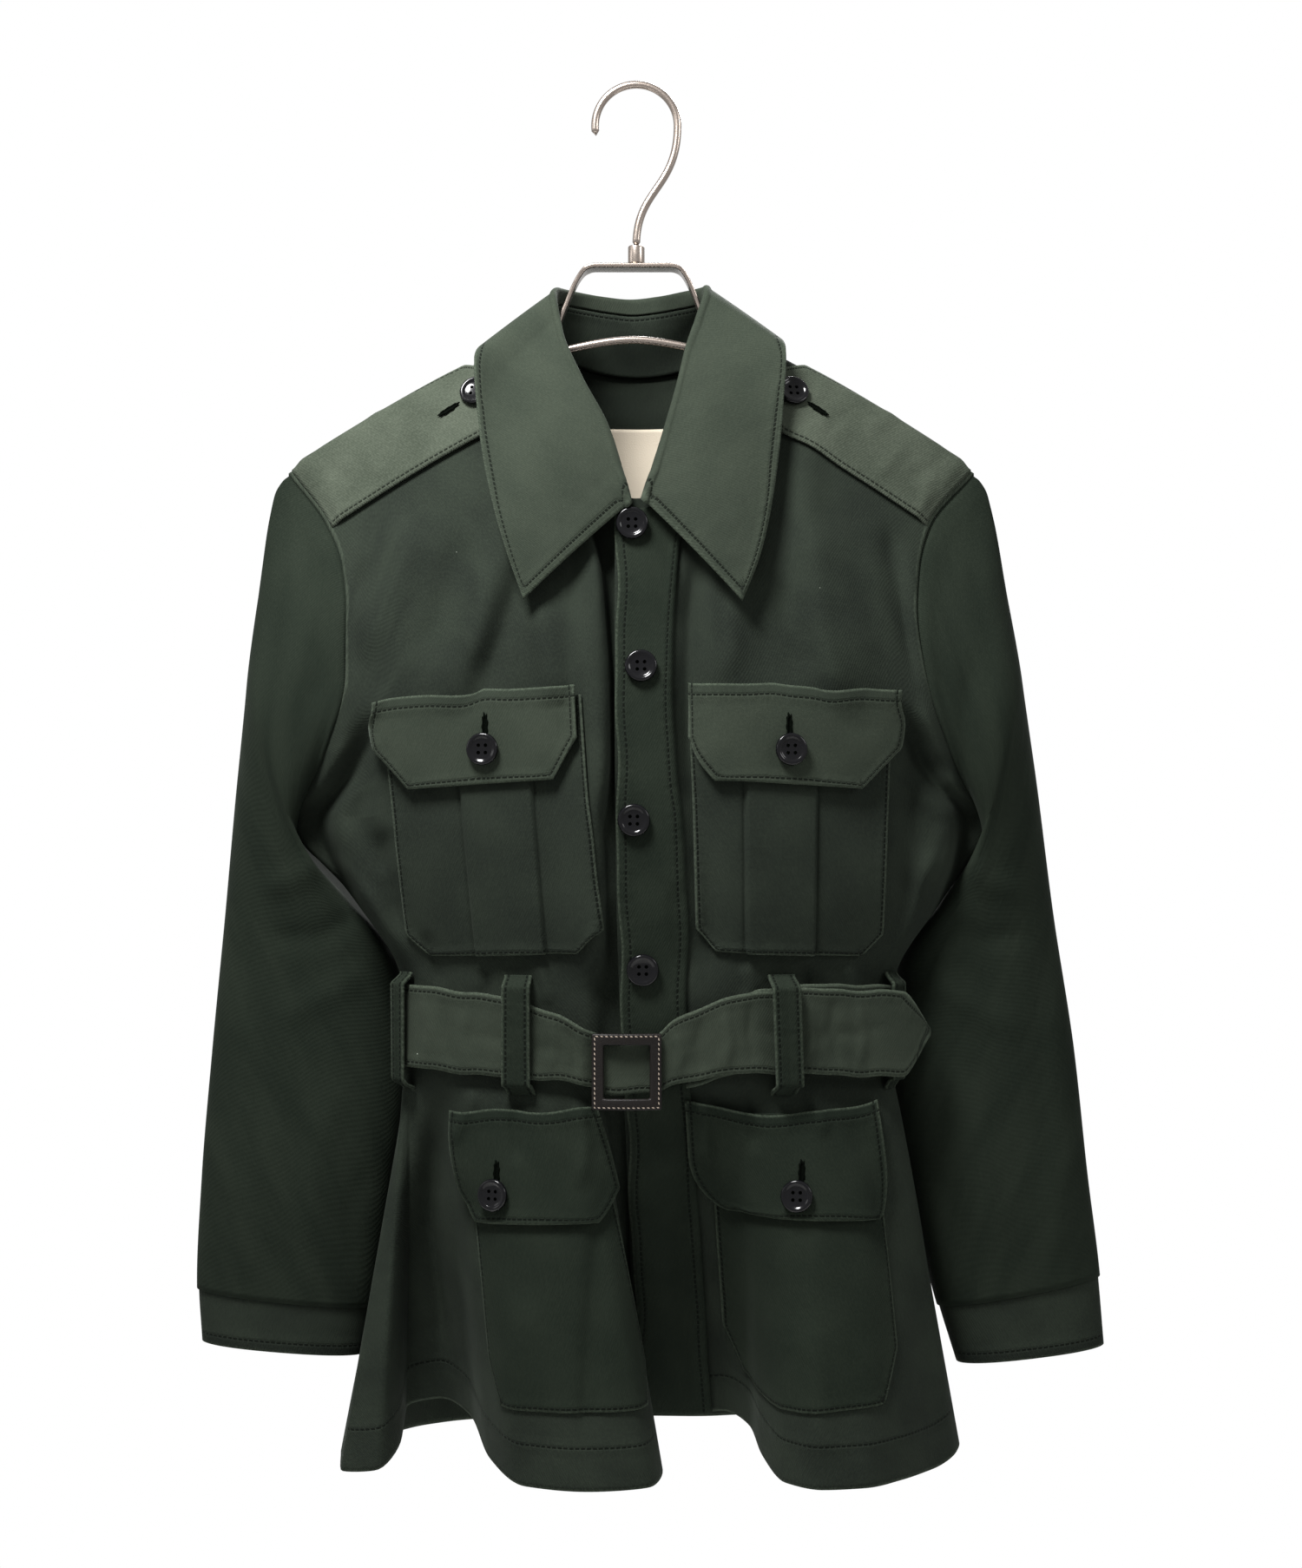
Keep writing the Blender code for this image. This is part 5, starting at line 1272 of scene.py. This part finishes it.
def crumpled(spot, facing):
    """The belt's cloth pushed in and out where it is crumpled, and its edges a little uneven."""
    lift = lifted(spot[:, 0], spot[:, 2], BELT_CREASES)
    wave = 0.6 * np.sin(spot[:, 0] / 7.3) + 0.4 * np.sin(spot[:, 0] / 3.7 + 1.0)
    spot[:, 1] -= facing * (np.clip(lift, -1.6, 1.8) + 0.4 * wave)
    spot[:, 2] += 0.8 * wave
    return spot


def belt_band(u, v):
    plan = belt_path(u, BELT_OUT + 0 * u)
    bottom, top = BELT_LINES["bottom"](u), BELT_LINES["top"](u)
    facing = np.where(np.abs(u - 0.5) < 0.25, -1.0, 1.0)
    return crumpled(point(plan[:, 0], plan[:, 1], bottom + (top - bottom) * v), facing)


def belt_end(u, v):
    line = {name: read(u) for name, read in FREE_END_LINES.items()}
    z = line["bottom"] + (line["top"] - line["bottom"]) * v
    return crumpled(point(line["x"], line["y"], z), ease(0.0, 0.1, u))


def belt_loop(side, at, out):
    def place(u, v):
        h = LOOP_BOTTOM + (LOOP_TOP - LOOP_BOTTOM) * v
        lift = LOOP_FOOT + (out - LOOP_FOOT) * ease(0.0, 0.1, v) * (1 - ease(0.9, 1.0, v))
        return on_front(side, at + LOOP_SHARE * (2 * u - 1), h, lift)

    return place


# The belt and its free end take the rubbed twill, paler partly for wear and partly with painted light.
cloth("belt", 400, 20, belt_band, (0.67, 0.047), "laid", BODY_CLOTH, rim="bt",
      rows_sewn=(("bt", 3.2),), wall=BELT_WALL, look=rubbed_and_lit)
cloth("belt_free_end", 130, 24, belt_end, (0.18, 0.045), "laid", ["belt_cloth"], rim="btr",
      rows_sewn=(("btr", 3.2), ("r", 6.0)), wall=BELT_WALL, look=rubbed_and_lit)
# The loops take the deep twill, darkened with painted shade.
for name, side, at, out in LOOPS[1:]:
    wide = 0.012 if "side" in name else 0.017
    cloth(name + "_belt_loop", 14, 60, belt_loop(side, at, out), (wide, 0.079), "laid",
          [NAME[side] + "_front_cloth"], flip=side == RIGHT, rim="lr",
          rows_sewn=(("lr", 2.6),), wall=LOOP_WALL, look=deep)

# The buckle. A square frame covered in black brown leather, stitched round its edge, through
# whose slot the belt shows.
BUCKLE_CENTRE = (-5.0, -84.0, -580.0)
BUCKLE_SIZE = (39.5, 43.5)
BUCKLE_RAIL = 6.5
BUCKLE_WALL = 3.6
BUCKLE_CREST = 2.5
BUCKLE_ROUND = 1.2
LEATHER = "#080605"
BUCKLE_THREAD = "#6b6258"
BUCKLE_STITCH = 1.5
BUCKLE_PITCH = 2.8
BUCKLE_ROWS = 3
wide, tall = BUCKLE_SIZE
mesh = bmesh.new()
bmesh.ops.create_grid(mesh, x_segments=24, y_segments=BUCKLE_ROWS, size=1)
levels = (-tall / 2, BUCKLE_RAIL - tall / 2, tall / 2 - BUCKLE_RAIL, tall / 2)
for vertex in mesh.verts:
    share, level = vertex.co.x, levels[round((vertex.co.y + 1) / 2 * BUCKLE_ROWS)]
    vertex.co = (BUCKLE_CENTRE[0] + wide / 2 * share, BUCKLE_CENTRE[1] + BUCKLE_CREST * share**2,
                 BUCKLE_CENTRE[2] + level)
slot = []
for face in mesh.faces:
    off = face.calc_center_median() - Vector(BUCKLE_CENTRE)
    if abs(off.x) < wide / 2 - BUCKLE_RAIL and abs(off.z) < tall / 2 - BUCKLE_RAIL:
        slot.append(face)
bmesh.ops.delete(mesh, geom=slot, context="FACES")
bmesh.ops.scale(mesh, vec=(MM, MM, MM), verts=mesh.verts)
buckle = walled(meshed("buckle_leather", mesh), BUCKLE_WALL)
rounded_edges(buckle, BUCKLE_ROUND, 4)
# Leather: dark and slightly glossy, with a fine grain and a row of paler stitches near its edge.
leather, tree, shader = principled("stitched black brown leather", LEATHER, 0.5,
                                   Specular_IOR_Level=0.1)
spot = add(tree, "TexCoord").outputs["Object"]
where = add(tree, "SeparateXYZ", {"Vector": spot})
found = {"x": where.outputs["X"], "z": where.outputs["Z"]}
work_out(tree, found, (
    ("x_off", "SUBTRACT", "x", BUCKLE_CENTRE[0] * MM), ("x_off", "ABSOLUTE", "x_off"),
    ("x_past", "SUBTRACT", "x_off", (wide / 2 - BUCKLE_STITCH) * MM),
    ("z_off", "SUBTRACT", "z", BUCKLE_CENTRE[2] * MM), ("z_off", "ABSOLUTE", "z_off"),
    ("z_past", "SUBTRACT", "z_off", (tall / 2 - BUCKLE_STITCH) * MM),
    ("past", "MAXIMUM", "x_past", "z_past"), ("past", "ABSOLUTE", "past"),
    ("run", "ADD", "x", "z"), ("run", "DIVIDE", "run", BUCKLE_PITCH * MM), ("run", "FRACT", "run"),
    ("dash", "LESS_THAN", "run", 0.45),
))
row = add(tree, "MapRange", {"Value": found["past"], "From Min": 0.2 * MM, "From Max": 0.4 * MM,
                             "To Min": 1.0, "To Max": 0.0}).outputs["Result"]
stitch = add(tree, "Math", {0: row, 1: found["dash"]}, operation="MULTIPLY").outputs[0]
colour = add(tree, "Mix", {"Factor": stitch, "A": linear(LEATHER), "B": linear(BUCKLE_THREAD)},
             data_type="RGBA")
tree.links.new(colour.outputs["Result"], shader.inputs["Base Color"])
grain = add(tree, "TexVoronoi", {"Vector": spot, "Scale": 1100.0})
bump = add(tree, "Bump", {"Height": grain.outputs["Distance"], "Distance": 0.0002, "Strength": 0.6})
tree.links.new(bump.outputs["Normal"], shader.inputs["Normal"])
place_piece(buckle, leather, "buckle", "buckle")

# The buttons. Black glossy plastic with a raised rim and four holes, sewn on through them; the
# front, the cuffs, the flaps and the epaulettes have one shape.
BUTTON_RISE = 1.5
CUFF_BUTTON_RISE = 4.0
BUTTON_RADIUS = 9.3
BUTTON_WALL = 3.6
BUTTON_PROFILE = (
    (0.0, 0.0), (0.90, 0.0), (0.97, 0.18), (1.0, 0.5), (0.98, 0.8), (0.93, 0.96), (0.86, 1.0),
    (0.78, 0.97), (0.70, 0.80), (0.62, 0.70), (0.30, 0.64), (0.0, 0.62),
)
HOLE_OFF, HOLE_RADIUS = 2.1, 1.05
CHEST_BUTTON = {RIGHT: (-85, -397), LEFT: (86.5, -397)}
SKIRT_BUTTON = {RIGHT: (0.47, -652), LEFT: (0.43, -653)}
FRONT_BUTTONS = ((-2, -267), (3, -350), (-1, -437), (4, -522))
EPAULETTE_BUTTON = (0.285, -27.0)
CUFF_BUTTON = {RIGHT: (0.93, 0.965), LEFT: (0.02, 0.970)}
BUTTON_BLACK = "#050506"
mesh = bmesh.new()
corners = [mesh.verts.new((BUTTON_RADIUS * across * MM, 0, BUTTON_WALL * rise * MM))
           for across, rise in BUTTON_PROFILE]
edges = [mesh.edges.new(pair) for pair in zip(corners, corners[1:])]
bmesh.ops.spin(mesh, geom=corners + edges, axis=(0, 0, 1), cent=(0, 0, 0), steps=48, angle=2 * math.pi,
               use_merge=True)
bmesh.ops.remove_doubles(mesh, verts=mesh.verts, dist=0.000001)
bmesh.ops.recalc_face_normals(mesh, faces=mesh.faces)
blank_piece = meshed("button blank", mesh)
mesh = bmesh.new()
for x, y in ((1, 1), (-1, 1), (-1, -1), (1, -1)):
    drill = Matrix.Translation((x * HOLE_OFF * MM, y * HOLE_OFF * MM, 0))
    bmesh.ops.create_cone(mesh, cap_ends=True, segments=16, radius1=HOLE_RADIUS * MM,
                          radius2=HOLE_RADIUS * MM, depth=0.02, matrix=drill)
drill_piece = meshed("button drill", mesh)
holes = blank_piece.modifiers.new("four holes", "BOOLEAN")
holes.object = drill_piece
holes.solver = "EXACT"
bpy.context.view_layer.update()
evaluated = blank_piece.evaluated_get(bpy.context.evaluated_depsgraph_get())
drilled = bpy.data.meshes.new_from_object(evaluated)
bpy.data.objects.remove(blank_piece)
bpy.data.objects.remove(drill_piece)
drilled.set_sharp_from_angle(angle=math.radians(50))
# Black plastic: a clean gloss that shows the light in the rim.
gloss_black, tree, shader = principled("black gloss plastic", BUTTON_BLACK, 0.16,
                                       Specular_IOR_Level=0.12)
spot = add(tree, "TexCoord").outputs["Object"]
smear = add(tree, "TexNoise", {"Vector": spot, "Scale": 260.0, "Detail": 2.0})
rough = add(tree, "MapRange", {"Value": smear.outputs["Fac"], "To Min": 0.08, "To Max": 0.22})
tree.links.new(rough.outputs["Result"], shader.inputs["Roughness"])


def sewn_button(node, surface, side, a, b, out):
    """A button over the point (a, b) of a surface, facing the way that the cloth does."""
    centre = surface(side, *np.array([[a], [b], [out]], float))[0]
    facing = surface(side, *np.array([[a], [b], [out + 1.0]], float))[0] - centre
    z = facing / np.linalg.norm(facing)
    x = np.cross((0, 0, 1), z)
    x = x / np.linalg.norm(x)
    turned = np.stack([x, np.cross(z, x), z], 1)
    rows = [[*turned[i], centre[i] * MM] for i in range(3)] + [[0, 0, 0, 1]]
    data = drilled.copy()
    data.transform(Matrix(rows))
    piece = linked(node + "_sewn", data)
    piece.data.materials.append(gloss_black)
    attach(piece, "root")
    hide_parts(node)


for side in (RIGHT, LEFT):
    for place, surface, (a, b), out in (
        ("cuff", on_sleeve, CUFF_BUTTON[side], CUFF_OUT + CUFF_BUTTON_RISE),
        ("chest", chest_point, CHEST_BUTTON[side], CHEST_FLAP_OUT + BUTTON_RISE),
        ("skirt", on_front, SKIRT_BUTTON[side], SKIRT_FLAP_OUT + BUTTON_RISE),
        ("epaulette", on_shoulder, EPAULETTE_BUTTON, EPAULETTE_OUT + BUTTON_RISE),
    ):
        sewn_button(f"{NAME[side]}_{place}_button", surface, side, a, b, out)
for number, (x, z) in enumerate(FRONT_BUTTONS, 1):
    sewn_button(f"front_button_{number}", chest_point, LEFT, x, z, LAYER + BUTTON_RISE)

# The buttonholes. A slit bound with close dark thread beside each button of the flaps and the
# epaulettes; it shows above or beyond the button's rim.
BUTTONHOLE = (7.2, 1.8, 0.8)
THREAD = "#030403"
CHEST_HOLE = {RIGHT: (-84.2, -384.5), LEFT: (86.0, -384.5)}
SKIRT_HOLE = {RIGHT: (-77.5, -640.0), LEFT: (95.5, -640.0)}
EPAULETTE_HOLE = (0.40, -28.0)
EPAULETTE_HOLE_LIFT = 0.7
SHOULDER_SEAM = 165
thread_dark, tree, shader = principled("dark sewing thread", THREAD, 0.9, Specular_IOR_Level=0.0)
spot = add(tree, "TexCoord").outputs["Object"]
twist = add(tree, "TexNoise", {"Vector": spot, "Scale": 1 / (0.7 * MM), "Detail": 2.0})
bump = add(tree, "Bump", {"Height": twist.outputs["Fac"], "Distance": 0.0004, "Strength": 1.0})
tree.links.new(bump.outputs["Normal"], shader.inputs["Normal"])


def buttonhole(name, surface, across, up):
    """A bound slit: surface(a, b, out) is the cloth's point a to the side and b up from the
    slit's middle; across and up give the slit's direction."""
    half_long, half_wide, rise = BUTTONHOLE

    def place(u, v):
        turn = 2 * math.pi * u
        uneven = 1 + 0.12 * np.sin(9 * turn) * v
        long_way = half_long * np.cos(turn) * (0.55 + 0.45 * v) * uneven
        wide_way = half_wide * np.sign(np.sin(turn)) * np.abs(np.sin(turn)) ** 0.6 * v * uneven
        out = rise * np.sin(math.pi * np.clip((v - 0.25) / 0.75, 0, 1)) + 0.15
        return surface(long_way * across - wide_way * up, long_way * up + wide_way * across, out)

    piece = grid(name, 72, 7, place)
    place_piece(piece, thread_dark, "cloth")


for side in (RIGHT, LEFT):
    for place, surface, (first, second), unit, out, across, up in (
        ("chest", chest_point, CHEST_HOLE[side], 1.0, CHEST_FLAP_OUT, 0.0, 1.0),
        ("skirt", chest_point, SKIRT_HOLE[side], 1.0, SKIRT_FLAP_OUT, 0.0, 1.0),
        ("epaulette", on_shoulder, EPAULETTE_HOLE, SHOULDER_SEAM,
         EPAULETTE_OUT + EPAULETTE_HOLE_LIFT, 1.0, 0.0),
    ):
        buttonhole(f"{NAME[side]}_{place}_buttonhole",
                   lambda a, b, rise: surface(side, first + a / unit, second + b,
                                              out + CLOTH / 2 + rise), across, up)

# The badges and the neck label. A round-ended patch and a curved flash of ribbed embroidery on
# the right sleeve, left plain, and a bare cream tape inside the back of the neck.
PATCH = (0.560, 0.250, 0.083, 0.052)
FLASH = (0.475, 0.710, 0.054, 0.050, 0.020)
BADGE_OUT = 2.7
FLASH_OUT = 3.7
LABEL = (-40.0, 32.0, -252.0, -198.0)
LABEL_OUT = 3.2


def patch(u, v):
    a, b = 2 * u - 1, 2 * v - 1
    across, down = a * np.sqrt(1 - b * b / 2), b * np.sqrt(1 - a * a / 2)
    middle, level, half_round, half_down = PATCH
    return on_sleeve(RIGHT, middle + half_round * across, level + half_down * down, BADGE_OUT + 0 * u)


def flash(u, v):
    first, last, top, drop, bow = FLASH
    down = top + drop * (1 - v) + bow * (2 * u - 1) ** 2
    return on_sleeve(RIGHT, first + (last - first) * u, down, FLASH_OUT + 0 * u)


def label(u, v):
    left, right, bottom, top = LABEL
    x, z = left + (right - left) * u, bottom + (top - bottom) * v
    at, h = seen_at(smooth_back, x, z, x / 190, z - 50)
    return raised(back, at, h, LABEL_OUT + 0 * u)


# Embroidery: close upright ribs of thread, darker than the twill.
ribbed, tree, shader = principled("dark ribbed embroidery", "#141713", 0.7, Sheen_Weight=0.1)
cut = add(tree, "UVMap", uv_map="cut").outputs["UV"]
ribs = add(tree, "TexWave", {"Vector": cut, "Scale": WAVE_STEP / (1.2 * MM), "Distortion": 0.4})
bump = add(tree, "Bump", {"Height": ribs.outputs["Fac"], "Distance": 0.0004, "Strength": 1.0})
tree.links.new(bump.outputs["Normal"], shader.inputs["Normal"])
# Cream tape: an even plain weave.
tape, tree, shader = principled("cream label tape", "#80786a", 0.8, Sheen_Weight=0.05)
cut = add(tree, "UVMap", uv_map="cut").outputs["UV"]
weave = add(tree, "TexNoise", {"Vector": cut, "Scale": 1 / (0.8 * MM)})
bump = add(tree, "Bump", {"Height": weave.outputs["Fac"], "Distance": 0.0002, "Strength": 1.0})
tree.links.new(bump.outputs["Normal"], shader.inputs["Normal"])
cloth("sleeve_patch", 40, 40, patch, (0.05, 0.04), "laid", ["right_sleeve_cloth"], look=ribbed)
cloth("shoulder_flash", 50, 14, flash, (0.062, 0.018), "laid", ["right_sleeve_cloth"], look=ribbed)
cloth("neck_label", 30, 24, label, (0.074, 0.056), "laid", ["back_cloth"], look=tape, slot="label",
      wall=1.0)

# The studio. A plain pale floor well below the hem, a white room and four soft lights; the
# camera stands as far off as the photo's did, level with the middle of its frame.
FLOOR_HEIGHT = -1.2
CAMERA_AWAY = 1.6
CAMERA_X, CAMERA_HEIGHT = 0.0088, -0.4165
PHOTO_HEIGHT = 1806
MM_PER_PIXEL = 0.52
SENSOR = 24
LIGHTS_AIM = (0, 0, -0.45)
mesh = bmesh.new()
bmesh.ops.create_grid(mesh, x_segments=1, y_segments=1, size=1.0)
bmesh.ops.translate(mesh, vec=(0, 0, FLOOR_HEIGHT), verts=mesh.verts)
floor = meshed("floor", mesh)
floor.data.materials.append(principled("pale matt floor", "#e6e6e4", 0.9)[0])

world = bpy.data.worlds.new("white room")
bpy.context.scene.world = world
world.use_nodes = True
world.node_tree.nodes["Background"].inputs["Color"].default_value = (1, 1, 1, 1)
world.node_tree.nodes["Background"].inputs["Strength"].default_value = 1.0
LIGHTS = (
    ("key", (-0.36, -0.58, 0.53), 0.4, 74.0),
    ("right side", (1.9, -0.9, 0.5), 0.8, 24.0),
    ("left side", (-2.0, -0.5, 0.2), 0.8, 7.0),
    ("behind", (0.6, 2.2, 1.2), 1.2, 150.0),
)
for name, spot, size, watts in LIGHTS:
    lamp = bpy.data.lights.new(name, "AREA")
    lamp.shape = "DISK"
    lamp.size = size
    lamp.energy = watts
    holder = linked(name, lamp)
    holder.location = spot
    holder.rotation_mode = "QUATERNION"
    holder.rotation_quaternion = (Vector(spot) - Vector(LIGHTS_AIM)).to_track_quat("Z", "Y")
bpy.context.scene.view_settings.view_transform = "Standard"

lens = bpy.data.cameras.new("camera")
lens.sensor_fit = "VERTICAL"
lens.sensor_height = SENSOR
lens.lens = SENSOR * CAMERA_AWAY / (PHOTO_HEIGHT * MM_PER_PIXEL * MM)
camera = linked("camera", lens)
camera.location = (CAMERA_X, -CAMERA_AWAY, CAMERA_HEIGHT)
camera.rotation_euler = (math.pi / 2, 0, 0)
bpy.context.scene.camera = camera
